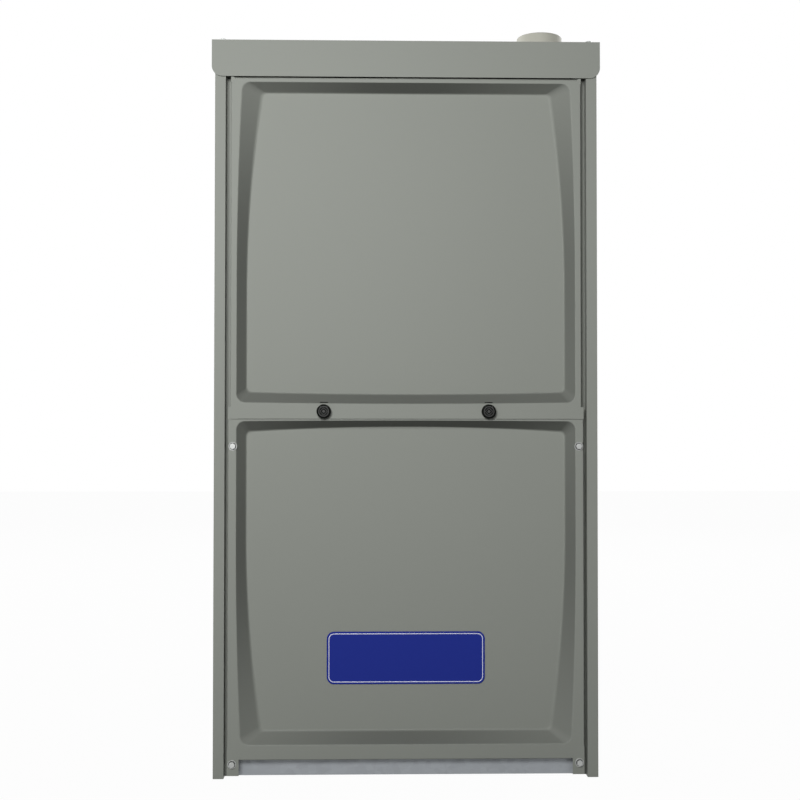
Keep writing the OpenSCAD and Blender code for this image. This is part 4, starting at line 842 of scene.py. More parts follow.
def apply_tree(mesh, tree, **values):
    """An object that puts a mesh through a tree. Inputs are set before it first runs."""
    holder = bpy.data.objects.new("growing", mesh)
    scene.collection.objects.link(holder)
    modifier = holder.modifiers.new("grow", "NODES")
    modifier.node_group = tree
    wanted = {key.replace("_", " "): value for key, value in values.items()}
    for item in tree.interface.items_tree:
        if item.item_type == "SOCKET" and item.in_out == "INPUT" and item.name in wanted:
            modifier[item.identifier] = wanted.pop(item.name)
    if wanted:
        raise ValueError(f"{tree.name} has no input named {sorted(wanted)}")
    holder.update_tag()
    return holder


def attribute(tree, name, kind="FLOAT"):
    return ask(tree, "GeometryNodeInputNamedAttribute", {"data_type": kind}, Name=name)


def dress(tree, geometry, given):
    """The end of every tree: instances made real, then the finish."""
    real = ask(tree, "GeometryNodeRealizeInstances", Geometry=geometry)
    dressed = ask(tree, "GeometryNodeSetMaterial", Geometry=real, Material=given["Finish"])
    tree.links.new(plain(dressed), tree.nodes["Group Output"].inputs["Geometry"])
    print("tree", tree.name, len(tree.nodes), "nodes")


# %% Tree: pressed recess
press, given = geometry_tree("pressed_recess", {
    "Recess depth": 0.018, "Rim fillet": 0.1, "Floor fillet": 0.2, "Finish": bpy.types.Material})
across, width = attribute(press, "across"), attribute(press, "width")
rim_share, floor_share, recess = given["Rim fillet"], given["Floor fillet"], given["Recess depth"]
slope = 1.0 / (1.0 - (rim_share + floor_share) * 0.5)
early = across.of("MINIMUM", rim_share)
late = (across + floor_share - 1.0).of("MAXIMUM", 0.0)
rise, fall = early * early / (rim_share * 2.0), late * late / (floor_share * 2.0)
push = ask(press, "ShaderNodeCombineXYZ", Y=slope * (rise + (across - early) - fall) * recess)
pressed = ask(press, "GeometryNodeSetPosition", Geometry=given["Geometry"], Offset=push)
ramp_in = (across / rim_share).of("MINIMUM", 1.0)
ramp_out = ((1.0 - across) / floor_share).of("MINIMUM", 1.0)
grade = ramp_in * ramp_out * slope * recess / width.of("MAXIMUM", 0.001)
steepness = 1.0 - 1.0 / (grade * grade + 1.0).of("SQRT")
# The paint reads "steep" and darkens those walls as painted shade.
marked = ask(press, "GeometryNodeStoreNamedAttribute", Geometry=pressed, Name="steep",
             Value=steepness)
dress(press, marked, given)

# %% [markdown]
# The blank of a door is a flat outline whose edges know how they fold. Each point of the outline
# carries its fold: which way the edge faces, its bend radius and how far back its lip reaches.
# Between two points marked as open, the sheet is not joined, which makes the reliefs at the
# corners.

# %% The blank
FOLD_STEPS = 7
BEND, LIP_SIDE, LIP_END = 1.4, 12.2, 11.1


def fold(x, z, nx, nz, radius, lip):
    """A point of an outline, with the places its edge goes through while it folds back."""
    angles = [i * math.pi / 2 / (FOLD_STEPS - 2) for i in range(FOLD_STEPS - 1)]
    steps = [((math.sin(a) - 1) * radius, (1 - math.cos(a)) * radius) for a in angles]
    steps.append((0, max(lip, radius)))
    return [(x + nx * out, depth, z + nz * out) for out, depth in steps]


def side_fold(x, z):
    """A point of a side, whose lip reaches back beside the corner post."""
    return fold(x, z, 1, 0, BEND, LIP_SIDE)


def flat_edge(x, z):
    """A point where the sheet ends without a lip."""
    return [(x, 0, z)] * FOLD_STEPS


def mirrored(right_half):
    """An outline from its right half, which runs from bottom to top. None marks an open end."""
    left_half = [p if p is None else [(-x, d, z) for x, d, z in p] for p in reversed(right_half)]
    return right_half + left_half


def recess_loop(near, length, half, half_far, radius, sag, way, corner=10, side=28, edge=24):
    """Points round the recess. It starts at height near and runs up (way 1) or down (way -1)."""
    def half_at(v, taper=230.0):
        return half - (half - half_far) * max(0.0, 1 - (length - v) / taper) ** 2

    right = [(u / edge * (half - radius), sag * (u / edge) ** 2) for u in range(0, edge)]
    right += [(half - radius + radius * math.sin(a), sag + radius - radius * math.cos(a))
              for a in (i * math.pi / 2 / corner for i in range(corner + 1))]
    low, high = sag + radius, length - radius
    right += [(half_at(low + (high - low) * i / side),
               low + (high - low) * i / side) for i in range(1, side)]
    far = half_at(high) - radius
    right += [(far + radius * math.cos(a), high + radius * math.sin(a))
              for a in (i * math.pi / 2 / corner for i in range(corner + 1))]
    right += [(far * (1 - i / edge), length) for i in range(1, edge + 1)]
    loop = right + [(-x, v) for x, v in right[-2:0:-1]]
    return [(x, near + way * v) for x, v in loop]


def circle_loop(x, z, radius, sides=24):
    """A round hole."""
    return [(x + u, z + v) for u, v in ring_of(radius, sides)]


def fill_between(bm, loops):
    """Triangles between an outer loop and the loops inside it."""
    corners = [vertex for loop in loops for vertex in loop]
    flat = [Vector((v.co.x, v.co.z)) / MM for v in corners]
    sides, first = [], 0
    for loop in loops:
        sides += [(first + i, first + (i + 1) % len(loop)) for i in range(len(loop))]
        first += len(loop)
    _, _, faces, sources, _, _ = delaunay_2d_cdt(flat, sides, [], 0, 1e-5)
    for face in faces:
        trio = [corners[sources[i][0]] for i in face]
        centre = sum((Vector((v.co.x, v.co.z)) for v in trio), Vector((0, 0))) / 3 / MM
        crossings = 0
        for a, b in sides:
            p, q = flat[a], flat[b]
            if (p.y > centre.y) != (q.y > centre.y):
                crossings += centre.x < p.x + (q.x - p.x) * (centre.y - p.y) / (q.y - p.y)
        if crossings % 2:
            bm.faces.new(trio)


def blank(outline, holes, rim, base, rows):
    """A door's flat blank, folded at its edges, and across from 0 at the rim to 1 at the floor."""
    bm = bmesh.new()
    across, width = bm.verts.layers.float.new("across"), bm.verts.layers.float.new("width")
    known = {}

    def point(place, share=0.0, wall=0.0):
        key = tuple(round(c * 1e4) for c in place)
        if key not in known:
            known[key] = bm.verts.new(at(*place))
            known[key][across], known[key][width] = share, wall * MM
        return known[key]

    def strip(low, high):
        for i in range(len(low)):
            j = (i + 1) % len(low)
            if low[i] and low[j]:
                corners = list(dict.fromkeys((low[i], low[j], high[j], high[i])))
                if len(corners) > 2:
                    bm.faces.new(corners)

    rings = [[p and point(p[k]) for p in outline] for k in range(FOLD_STEPS)]
    for low, high in zip(rings, rings[1:]):
        strip(low, high)
    outer = list(dict.fromkeys(v for v in rings[0] if v))
    inner = [[point((x, 0, z)) for x, z in loop] for loop in holes]
    rows = [[point((a[0] + (b[0] - a[0]) * t, 0, a[1] + (b[1] - a[1]) * t), t, math.dist(a, b))
             for a, b in zip(rim, base)] for t in rows]
    for low, high in zip(rows, rows[1:]):
        strip(low, high)
    fill_between(bm, [outer, *inner, rows[0]])
    fill_between(bm, [rows[-1]])
    bmesh.ops.recalc_face_normals(bm, faces=bm.faces)
    bm.faces.ensure_lookup_table()
    if max(bm.faces, key=lambda face: face.calc_area()).normal.y > 0:
        bmesh.ops.reverse_faces(bm, faces=bm.faces)
    mesh = bpy.data.meshes.new("blank")
    bm.to_mesh(mesh)
    bm.free()
    return mesh


RIM_CORNERS = {"half": 197, "half_far": 192, "radius": 10}
BASE_CORNERS = {"half": 185.5, "half_far": 166.5, "radius": 6}
RIM_FILLET, FLOOR_FILLET, SHEET = 0.09, 0.2, 1.0
BEVEL_ROWS = [0, 0.015, 0.03, 0.045, 0.06, 0.075, 0.09, 0.3, 0.55, 0.8, 0.83, 0.86, 0.9, 0.94, 0.97,
              1]


def door(node, outline, holes, rim, base):
    """Presses and thickens a blank, and puts it in for the CAD door."""
    mesh = blank(outline, holes, rim, base, BEVEL_ROWS)
    holder = apply_tree(mesh, press, Recess_depth=RECESS * MM, Rim_fillet=RIM_FILLET,
                        Floor_fillet=FLOOR_FILLET, Finish=cabinet_paint)
    thick = holder.modifiers.new("sheet", "SOLIDIFY")
    thick.thickness, thick.offset = SHEET * MM, -1
    thick.use_even_offset = True
    thick.use_quality_normals = True
    made = finished(baked(holder), node, smooth=38)
    print(node, len(made.data.polygons), "faces", [round(v * 1000, 1) for v in made.dimensions])


# %% Upper door
RECESS = size_mm("door_badge")[1][1]
DOOR_HALF, STEP_HALF, RAIL_HALF = 206.1, 203.7, 194.85
KNOB_X, KNOB_Z, KNOB_HOLE_R = 95.5, 422.3, 3.1
SEAM_Z, STRIP_TOP = 413.55, 427.6        # the upper door starts, and its knob strip ends
SIDE_TOP, UPPER_TOP = 804.9, 811.2       # the side lips end, and the door ends

joggle = [(0, 0), (0.12, 0.1), (0.3, 0.7), (0.5, 2.2), (0.9, 2.9), (2.3, 3.0), (2.3, LIP_END)]
upper_outline = mirrored([
    fold(RAIL_HALF, SEAM_Z, 0, -1, 0.5, LIP_END), None,
    flat_edge(RAIL_HALF, 414.2), flat_edge(RAIL_HALF, SEAM_Z), flat_edge(DOOR_HALF, SEAM_Z),
    flat_edge(DOOR_HALF, STRIP_TOP), flat_edge(STEP_HALF - BEND, STRIP_TOP), None,
    side_fold(STEP_HALF, STRIP_TOP), side_fold(STEP_HALF, SIDE_TOP), None,
    flat_edge(STEP_HALF - BEND, SIDE_TOP), flat_edge(STEP_HALF, SIDE_TOP),
    flat_edge(STEP_HALF, UPPER_TOP),
    [(200.5, d, UPPER_TOP) for d in (0, 0.1, 0.7, 2.2, 2.9, 3.0, LIP_END)],
    [(198.5, d, 808.9 + out) for out, d in joggle]])
upper_rim = recess_loop(430.6, 805.8 - 430.6, sag=1.4, way=1, **RIM_CORNERS)
upper_base = recess_loop(443.9, 796 - 443.9, sag=2.6, way=1, **BASE_CORNERS)
door("upper_door", upper_outline, [circle_loop(sx * KNOB_X, KNOB_Z, KNOB_HOLE_R) for sx in (-1, 1)],
     upper_rim, upper_base)

# %% Lower door
TAB_X, TAB_Z = 192.6, 3.5
SCREW_X, SCREW_ZS, SCREW_HOLE_R = 200.4, (382, 16.8), 2.15
SIDE_LOW, RELIEF_LOW, RELIEF_HIGH, SIDE_HIGH = 35.3, 378, 386, 413.1
lower_outline = mirrored([
    fold(TAB_X, 21.3, 0, -1, BEND, LIP_END), None,
    flat_edge(TAB_X, 22.7), flat_edge(TAB_X, TAB_Z), flat_edge(DOOR_HALF, TAB_Z),
    flat_edge(DOOR_HALF, SIDE_LOW),
    flat_edge(DOOR_HALF - BEND, SIDE_LOW), None,
    side_fold(DOOR_HALF, SIDE_LOW), side_fold(DOOR_HALF, RELIEF_LOW), None,
    flat_edge(DOOR_HALF - BEND, RELIEF_LOW), flat_edge(DOOR_HALF - BEND, RELIEF_HIGH), None,
    side_fold(DOOR_HALF, RELIEF_HIGH), side_fold(DOOR_HALF, SIDE_HIGH), None,
    flat_edge(DOOR_HALF - BEND, SIDE_HIGH), flat_edge(RAIL_HALF, SIDE_HIGH),
    flat_edge(RAIL_HALF, 412.7), None,
    fold(RAIL_HALF, 413.2, 0, 1, 0.4, LIP_END)])
lower_rim = recess_loop(412.1, 412.1 - 38, sag=0.4, way=-1, **RIM_CORNERS)
lower_base = recess_loop(404.1, 404.1 - 52.3, sag=6.2, way=-1, **BASE_CORNERS)
lower_holes = [circle_loop(sx * SCREW_X, z, SCREW_HOLE_R) for sx in (-1, 1) for z in SCREW_ZS]
door("lower_door", lower_outline, lower_holes, lower_rim, lower_base)

# %% [markdown]
# ## Screws
# The doors, the lid and the back are held by quarter-inch hex screws with a washer face. One screw
# is turned from a profile, with its thread, and a Geometry Nodes tree puts a copy on each point,
# facing the way the point says and spun by its own random angle, as no fitter lines them up.

# %% Tree: place screws
FULL_TURN = 6.283
scatter, given = geometry_tree("place_screws", {
    "Screw": bpy.types.Object, "Spin seed": 4, "Largest spin": FULL_TURN,
    "Finish": bpy.types.Material})
aligned = ask(scatter, "FunctionNodeAlignRotationToVector", {"axis": "Z"},
              Vector=attribute(scatter, "facing", "FLOAT_VECTOR"))
drawn = ask(scatter, "FunctionNodeRandomValue", {"data_type": "FLOAT"}, output=1,
            i3=given["Largest spin"], Seed=given["Spin seed"])
own_turn = ask(scatter, "FunctionNodeAxisAngleToRotation", Axis=UP, Angle=drawn)
turned = ask(scatter, "FunctionNodeRotateRotation", {"rotation_space": "LOCAL"},
             Rotation=aligned, Rotate_By=own_turn)
one = ask(scatter, "GeometryNodeObjectInfo", output="Geometry", Object=given["Screw"])
copies = ask(scatter, "GeometryNodeInstanceOnPoints", Points=given["Geometry"], Instance=one,
             Rotation=turned)
dress(scatter, copies, given)

# %% One screw and its copies


def hexagon(across_flats):
    return ring_of(across_flats / 2 / math.cos(math.pi / 6), 6)


def loose(b):
    """What a build holds, as a mesh about the origin, to be copied somewhere else."""
    mesh = b.alone()
    mesh.transform(Matrix.Translation(-at(0, 0, 0)))
    mesh.shade_smooth()
    mesh.set_sharp_from_angle(angle=math.radians(32))
    return mesh


def screw_parts(shank):
    """A hex screw along +Z, seated at 0: its bright metal, and a near-black dish round the hex that
    is painted shade.
    """
    here, along = (0, 0, 0), UP
    pitch, root, crest = 1.1, 1.55, 2.1
    thread = []
    for i in range(int((shank - 2) / pitch)):
        thread += [(root, -shank + 1.6 + i * pitch), (crest, -shank + 1.6 + (i + 0.5) * pitch)]
    bright = Build()
    bright.turned([(0, -shank), (0.6, -shank + 0.4)] + thread + [(1.7, -0.2), (1.7, 0.1)], here,
                  along,
                  screw_zinc, sides=14)
    bright.turned([(4.0, 0), (4.8, 0), (5.0, 0.2), (5.0, 0.75), (4.75, 0.95), (4.2, 0.9),
                   (4.0, 0.6), (4.0, 0)],
                  here, along, screw_zinc, sides=32)
    bright.prism(hexagon(6.35), (0, 0, 0.7), along, 3.1, screw_zinc, edge=0.35)
    # Painted shade: a near-black disc between the hex and the washer rim.
    dish = Build()
    dish.turned([(0, 0), (4.3, 0), (4.3, 0.6), (3.6, 0.75), (0, 0.75)], here, along, screw_dish_painted_shade,
                sides=32)
    return (loose(bright), screw_zinc), (loose(dish), screw_dish_painted_shade)


def copied(points, model_mesh, finish, seed):
    """A model copied by the tree to points in mm."""
    model = bpy.data.objects.new("model", model_mesh)
    scene.collection.objects.link(model)
    cloud = bpy.data.meshes.new("points")
    cloud.from_pydata([at(*place) for place, _ in points], [], [])
    way = cloud.attributes.new("facing", "FLOAT_VECTOR", "POINT")
    way.data.foreach_set("vector", [c for _, axis in points for c in axis])
    mesh = baked(apply_tree(cloud, scatter, Screw=model, Finish=finish, Spin_seed=seed))
    bpy.data.objects.remove(model)
    bpy.data.meshes.remove(model_mesh)
    return mesh


def screws(b, points, shank, seed):
    """Screws at points in the cabinet, each with the way that it faces."""
    for mesh, finish in screw_parts(shank):
        b.take(copied(points, mesh, finish, seed), finish)
    return b


BACK_DEPTH, LID_Z = 737.0, 854.0
door_points = [((sx * SCREW_X, 0, z), FRONT) for sx in (-1, 1) for z in SCREW_ZS]
lid_points = [((sx * 214.5, d, LID_Z), UP) for sx in (-1, 1) for d in (9, 728)]
rear_points = [((sx * 212.25, BACK_DEPTH, z), REAR) for sx in (-1, 1) for z in (120, 427, 734)]
screws(Build(), door_points, 17.5, 3).piece("lower_door_screws")
screws(screws(Build(), lid_points, 9, 5), rear_points, 5, 8).piece("casing_screws")
print("screws:", len(door_points), "in the door,", len(lid_points) + len(rear_points),
      "in the casing")

# %% [markdown]
# ## Knobs, badge, plugs and pipe
# A knob is a moulded black button with rings round a diamond-shaped drive. Its rings, drive and
# two marks are a lighter grey, which is a painted highlight on the black. Behind the door it has
# a collar, and two wings that catch in the receptacle. The badge is a bare blue plate with a thin
# silver line inside its edge.

# %% Knobs
WING_D = size_mm("knob_left")[1][1] - 4
TIP = -WING_D - 4
CAP = [(0, 4.6), (3.0, 4.6), (3.0, 5.9), (3.5, 6.2), (4.3, 6.2), (4.5, 6.7), (4.9, 6.95),
       (5.5, 6.95), (5.75, 6.3), (6.15, 6.3), (6.4, 6.95), (6.9, 6.9), (7.7, 6.4), (8.15, 5.5),
       (8.3, 4.6), (8.3, 0.7), (8.1, 0.25), (7.7, 0.02)]
STEM = [(3, 0.02), (3, -1.3), (5, -1.3), (5, -3), (3, -3), (3, TIP + 0.6), (2.4, TIP), (0, TIP)]
FACE_RING = [(5.2, 6.2), (5.2, 6.97), (5.5, 6.99), (6.0, 6.97), (6.0, 6.2), (5.2, 6.2)]
DIAMOND_RING = [(3.9, 5.8), (3.9, 6.5), (4.8, 6.5), (4.8, 5.8), (3.9, 5.8)]
MARK_R, MARK_ANGLES = 6.6, (math.radians(55), math.radians(125))
for node, side in (("knob_left", -1), ("knob_right", 1)):
    b = Build((side * KNOB_X, 0, KNOB_Z))
    b.turned(CAP + STEM, (0, 0, 0), FRONT, knob_black, sides=56)
    # The lighter grey on the drive, the rings and the marks is painted highlight.
    b.prism([(2.1, 0), (0, 2.1), (-2.1, 0), (0, -2.1)], (0, 0, 0), FRONT, 6.0, knob_painted_highlight, edge=0.3)
    b.turned(FACE_RING, (0, 0, 0), FRONT, knob_painted_highlight, sides=56)
    b.turned(DIAMOND_RING, (0, 0, 0), FRONT, knob_painted_highlight, sides=4)
    for x, z in ((MARK_R * math.cos(a), MARK_R * math.sin(a)) for a in MARK_ANGLES):
        b.box((x - 0.35, -6.99, z - 0.8), (x + 0.35, -6, z + 0.8), knob_painted_highlight, edge=0.2)
    b.box((-1, WING_D, -5), (1, WING_D + 2, 5), knob_black, edge=0.4)
    b.piece(node)
print("wings", round(WING_D, 1), "mm behind the posts")

# %% Short thin dark strips laid on the door over the knobs
DARK_STRIP_HALF, DARK_STRIP_Z = 4.6, 432.4
b = Build()
# Each strip is a thin dark box on the sheet, just above a knob.
for x in (-KNOB_X, KNOB_X):
    b.box((x - DARK_STRIP_HALF, -0.04, DARK_STRIP_Z), (x + DARK_STRIP_HALF, 0.3, DARK_STRIP_Z + 0.9), knob_black, edge=0.02)
b.piece("upper_door", name="clip_slots")
print("knobs and dark strips over the knobs done")

# %% Badge
BADGE_LOW, BADGE_HIGH = size_mm("door_badge")
BADGE_R, RIM_STEPS = 8.5, ((2.2, 0.1), (2.2, -0.08), (2.3, -0.13), (2.9, -0.13), (3.0, -0.08),
                          (3.0, 0.1))
badge_w, badge_h = BADGE_HIGH[0] - BADGE_LOW[0], BADGE_HIGH[2] - BADGE_LOW[2]
badge_z = (BADGE_LOW[2] + BADGE_HIGH[2]) / 2


def rounded_rectangle(width, height, radius, corner=8):
    """An outline about its middle, with as many steps in each corner."""
    loop = []
    for turn, (sx, sz) in enumerate(((1, 1), (-1, 1), (-1, -1), (1, -1))):
        for i in range(corner + 1):
            a = math.pi / 2 * (turn + i / corner)
            loop.append((sx * (width / 2 - radius) + radius * math.cos(a),
                         sz * (height / 2 - radius) + radius * math.sin(a)))
    return loop


def badge_loop(inset, depth):
    """The outline of the badge, drawn in by an inset, at a depth."""
    return [(x, depth, badge_z + z)
            for x, z in rounded_rectangle(badge_w - 2 * inset, badge_h - 2 * inset,
                                          BADGE_R - inset)]


b = Build()
b.loft([badge_loop(0, BADGE_HIGH[1]), badge_loop(0, BADGE_LOW[1] + 0.4),
        badge_loop(0.12, BADGE_LOW[1] + 0.15), badge_loop(0.4, BADGE_LOW[1])], badge_blue)
b.loft([badge_loop(inset, BADGE_LOW[1] + drop) for inset, drop in RIM_STEPS], badge_rim,
       closed=True)
b.piece("door_badge")
print("badge", round(badge_w, 1), "x", round(badge_h, 1), "mm")

# %% Hole plugs, pipe and gasket
VENT_X, VENT_DEPTH, PIPE_R = 185.1, 225.0, 30.15
VENT = (VENT_X, VENT_DEPTH, 0)


def plug(b, place, axis, radius):
    """A push-in plug: a domed flange, a shallow dish and a split barrel behind it."""
    rim = radius + 2
    b.turned([(0, 0.5), (radius - 4, 0.5), (radius - 3, 1.05), (rim - 1.2, 1.2), (rim - 0.4, 0.9),
              (rim, 0.3), (rim, 0), (radius - 0.2, 0), (radius - 0.2, -2.8), (radius - 0.5, -4),
              (radius - 1.6, -4), (radius - 1.6, -0.4), (0, -0.4)], place, axis, black_plastic,
             sides=48)


b = Build()
plug(b, (-VENT_X, VENT_DEPTH, LID_Z), UP, 34.65)
plug(b, (CAB_HALF, 144, 760), RIGHT, 19)
plug(b, (CAB_HALF, 92, 455.6), RIGHT, 15)
plug(b, (-CAB_HALF, 74, 348), LEFT, 11.1)
b.piece("hole_plugs")

PIPE_LOW, PIPE_HIGH = size_mm("vent_pipe")
PIPE_L = PIPE_HIGH[2] - PIPE_LOW[2]
b = Build(VENT)
b.turned([(PIPE_R, 0), (PIPE_R, PIPE_L - 1.1), (PIPE_R - 0.9, PIPE_L), (26.9, PIPE_L),
          (26.25, PIPE_L - 0.6), (26.25, 0), (PIPE_R, 0)], (0, 0, PIPE_LOW[2]), UP, vent_plastic,
         sides=96)
b.piece("vent_pipe")

r, groove = PIPE_R + 0.05, 34.4
b = Build(VENT)
b.turned([(r, 850), (r + 5.2, 850), (r + 6, 850.6), (r + 6, 852.9), (groove, 852.9),
          (groove, 854.1), (r + 6, 854.1), (r + 6, 855.1), (r + 5.4, 855.6), (r + 3.6, 855.9),
          (r + 2.8, 856.8), (r + 1.6, 857), (r, 856.8), (r, 850)], (0, 0, 0), UP, rubber_black,
         sides=96)
b.piece("vent_gasket")
print("pipe and gasket done")

# %% [markdown]
# ## Helpers for the inside
# Behind the doors much is repeated: blades round a hub, fins and terminals in rows, and wires
# along a route. Three small Geometry Nodes trees do this, each for any model and any number of
# copies.

# %% Trees: round an axis, in a row, along a route
spin_tree, given = geometry_tree("round_an_axis", {
    "Copies": 12, "Centre": (0.0, 0.0, 0.0), "Axis": (0.0, 1.0, 0.0), "Finish": bpy.types.Material})
step_angle = 2 * math.pi / given["Copies"]
angle = ask(spin_tree, "GeometryNodeInputIndex") * step_angle
turn = ask(spin_tree, "FunctionNodeAxisAngleToRotation", Axis=given["Axis"], Angle=angle)
model = ask(spin_tree, "GeometryNodeTransform", Geometry=given["Geometry"],
            Translation=scaled(spin_tree, given["Centre"], -1.0))
spots = ask(spin_tree, "GeometryNodeMeshLine", Count=given["Copies"],
            Start_Location=given["Centre"], Offset=(0, 0, 0))
copies = ask(spin_tree, "GeometryNodeInstanceOnPoints", Points=spots, Instance=model, Rotation=turn)
dress(spin_tree, copies, given)

row_tree, given = geometry_tree("in_a_row", {
    "Copies": 8, "Step": (0.01, 0.0, 0.0), "Finish": bpy.types.Material})
spots = ask(row_tree, "GeometryNodeMeshLine", Count=given["Copies"], Start_Location=(0, 0, 0),
            Offset=given["Step"])
copies = ask(row_tree, "GeometryNodeInstanceOnPoints", Points=spots, Instance=given["Geometry"])
dress(row_tree, copies, given)

route_tree, given = geometry_tree("along_a_route", {
    "Radius": 0.0015, "Sides": 12, "Spacing": 0.004, "Finish": bpy.types.Material})
line = ask(route_tree, "GeometryNodeMeshToCurve", Mesh=given["Geometry"])
smooth = ask(route_tree, "GeometryNodeCurveSplineType", {"spline_type": "CATMULL_ROM"}, Curve=line)
even = ask(route_tree, "GeometryNodeResampleCurve", {"mode": "LENGTH"}, Curve=smooth,
           Length=given["Spacing"])
ring = ask(route_tree, "GeometryNodeCurvePrimitiveCircle", Resolution=given["Sides"],
           Radius=given["Radius"])
tube = ask(route_tree, "GeometryNodeCurveToMesh", Curve=even, Profile_Curve=ring, Fill_Caps=True)
dress(route_tree, tube, given)

# %% Their helpers


def grown(b, mesh, tree, finish, **values):
    """Adds to a build what a tree makes of a mesh."""
    return b.take(baked(apply_tree(mesh, tree, Finish=finish, **values)), finish)


def spin(b, model, copies, axis=DEPTHWISE):
    """Copies of a model round an axis through the build's origin, all in the model's finish."""
    return grown(b, model.alone(), spin_tree, model.materials[0], Copies=copies,
                 Centre=tuple(at(*b.origin)), Axis=tuple(float(c) for c in axis))


def row(b, model, copies, step):
    """Copies of a model in a row, with a step in mm."""
    return grown(b, model.alone(), row_tree, model.materials[0], Copies=copies,
                 Step=tuple(c * MM for c in step))


def cable(b, route, radius, finish, sides=12, spacing=4.0):
    """A round wire or hose through places in mm."""
    line = bpy.data.meshes.new("route")
    line.from_pydata([b.at(place) for place in route],
                     [(i, i + 1) for i in range(len(route) - 1)], [])
    return grown(b, line, route_tree, finish, Radius=radius * MM, Sides=sides,
                 Spacing=spacing * MM)


def tabs(b, place, copies, pitch, size):
    """Spade terminals in a row. The place is the first one's lowest corner."""
    far = [p + s for p, s in zip(place, size)]
    return row(b, Build(b.origin).box(place, far, bright_steel, edge=0.2), copies, (pitch, 0, 0))


print("helpers ready")

# %% [markdown]
# ## The blower
# A squirrel-cage wheel turns in a galvanised scroll and pushes the house air up through the deck.
# Its blades are thin curved strips held between two rings and riveted to a disc in the middle. The
# motor sits in the inlet on three bent arms with rubber feet, and has cooling slots in its shell.

# %% Blower wheel and shaft
AXLE, WHEEL_R, BLADE_IN, HUB_D = (-15.0, 0, 208.0), 127.0, 106.0, 420.0
WHEEL_LOW, WHEEL_HIGH = size_mm("blower_wheel")
BLADES = 40


def curved_strip(origin, radii, rise, thick, depths, steps=6):
    """One forward-curved blade between two radii, as a thin strip along the depth."""
    inner, outer = radii
    line = [(inner + (outer - inner) * t, rise * (1 - (1 - t) ** 2))
            for t in (i / steps for i in range(steps + 1))]
    outline = line + [(r, h + thick) for r, h in reversed(line)]
    return Build(origin).loft([[(r, d, h) for r, h in outline] for d in depths], zinc_sheet)


b = Build(AXLE)
blade = curved_strip(AXLE, (BLADE_IN, WHEEL_R - 1), 6.4, 1.0, (WHEEL_LOW[1] + 2, WHEEL_HIGH[1] - 2))
spin(b, blade, BLADES)
for edge_d, way in ((WHEEL_LOW[1], 1), (WHEEL_HIGH[1], -1)):
    b.turned([(WHEEL_R - 8, 0.6), (WHEEL_R - 7.4, 0), (WHEEL_R - 1, 0), (WHEEL_R, 1),
              (WHEEL_R, 5.2), (WHEEL_R - 0.8, 6), (WHEEL_R - 1.8, 5.4), (WHEEL_R - 1.8, 2),
              (WHEEL_R - 8, 2), (WHEEL_R - 8, 0.6)], (0, edge_d, 0), (0, way, 0), zinc_sheet,
             sides=96)
b.turned([(6.4, -8), (15, -8), (18, -6), (18, -1), (30, 0), (70, -3), (WHEEL_R - 14, 0),
          (WHEEL_R - 4, 0), (WHEEL_R - 4, 1.6), (WHEEL_R - 14, 1.6), (70, -1.4), (30, 1.6), (18, 3),
          (18, 16), (15, 18), (6.4, 18), (6.4, -8)], (0, HUB_D, 0), DEPTHWISE, zinc_sheet, sides=80)
rivet = Build(AXLE).turned([(0, 0), (2.4, 0), (2, 1), (0, 1.5)], (96, HUB_D, 0), FRONT,
                           bright_steel, sides=12)
spin(b, rivet, 20)
b.prism(hexagon(8), (0, HUB_D + 11, 16), UP, 8, bright_steel, edge=0.5)
b.piece("blower_wheel")
SHAFT_LOW, SHAFT_HIGH = size_mm("blower_shaft")
b = Build(AXLE)
length = SHAFT_HIGH[1] - SHAFT_LOW[1]
b.turned([(5.4, 0), (6.3, 0.9), (6.3, length - 0.9), (5.4, length)], (0, SHAFT_LOW[1], 0),
         DEPTHWISE, bright_steel, sides=40)
b.piece("blower_shaft")
print("blower wheel:", BLADES, "blades")

# %% Blower housing, motor and mount
HOUSE_D0, HOUSE_D1 = 300.0, 540.0
b = Build(AXLE).node("blower_housing", bend=0.6)
for d, way in ((HOUSE_D0, -1), (HOUSE_D1, 1)):
    b.turned([(109.2, 5.8), (112.2, 5.6), (113.4, 3.6), (116.4, 0.2), (122, 0), (122, 0.5),
              (117.2, 1.1), (114.4, 4.3), (112.8, 6.6), (110, 7), (109.2, 6.6), (109.2, 5.8)],
             (0, d, 0), (0, way, 0), zinc_sheet, sides=96)
weld = Build(AXLE).turned([(0, 0.1), (1.6, 0.1), (2.6, 0), (2.2, 0.35), (1.4, 0.15), (0, 0.25)],
                          (131, HOUSE_D0, 0), FRONT, bright_steel, sides=10)
spin(b, weld, 12)
b.piece("blower_housing")

MOTOR_R, MOTOR_D0 = 68.0, 250.0
b = Build(AXLE).node("blower_motor", bend=2.5, cut=0.4)
# The slots in the shell and the strips on its end are dark patches: painted shade in place of
# openings.
slot = Build(AXLE).box((MOTOR_R - 1, MOTOR_D0 + 92, -2.2), (MOTOR_R + 0.35, MOTOR_D0 + 122, 2.2),
                       rubber_black, edge=0.3)
spin(b, slot, 24)
fin = Build(AXLE).box((26, MOTOR_D0 - 8.4, -1.1), (52, MOTOR_D0 - 7.6, 1.1), rubber_black, edge=0.2)
spin(b, fin, 18)
seam = [(MOTOR_R, -0.8), (MOTOR_R + 0.35, -0.4), (MOTOR_R + 0.35, 0.4), (MOTOR_R, 0.8),
        (MOTOR_R - 1, 0), (MOTOR_R, -0.8)]
for d in (MOTOR_D0 + 42, MOTOR_D0 + 84):
    b.turned(seam, (0, d, 0), DEPTHWISE, motor_black, sides=72)
bolt = Build(AXLE).prism(hexagon(7), (48, MOTOR_D0 - 8, 0), FRONT, 0.9, bright_steel, edge=0.3)
spin(b, bolt, 4)
b.piece("blower_motor")

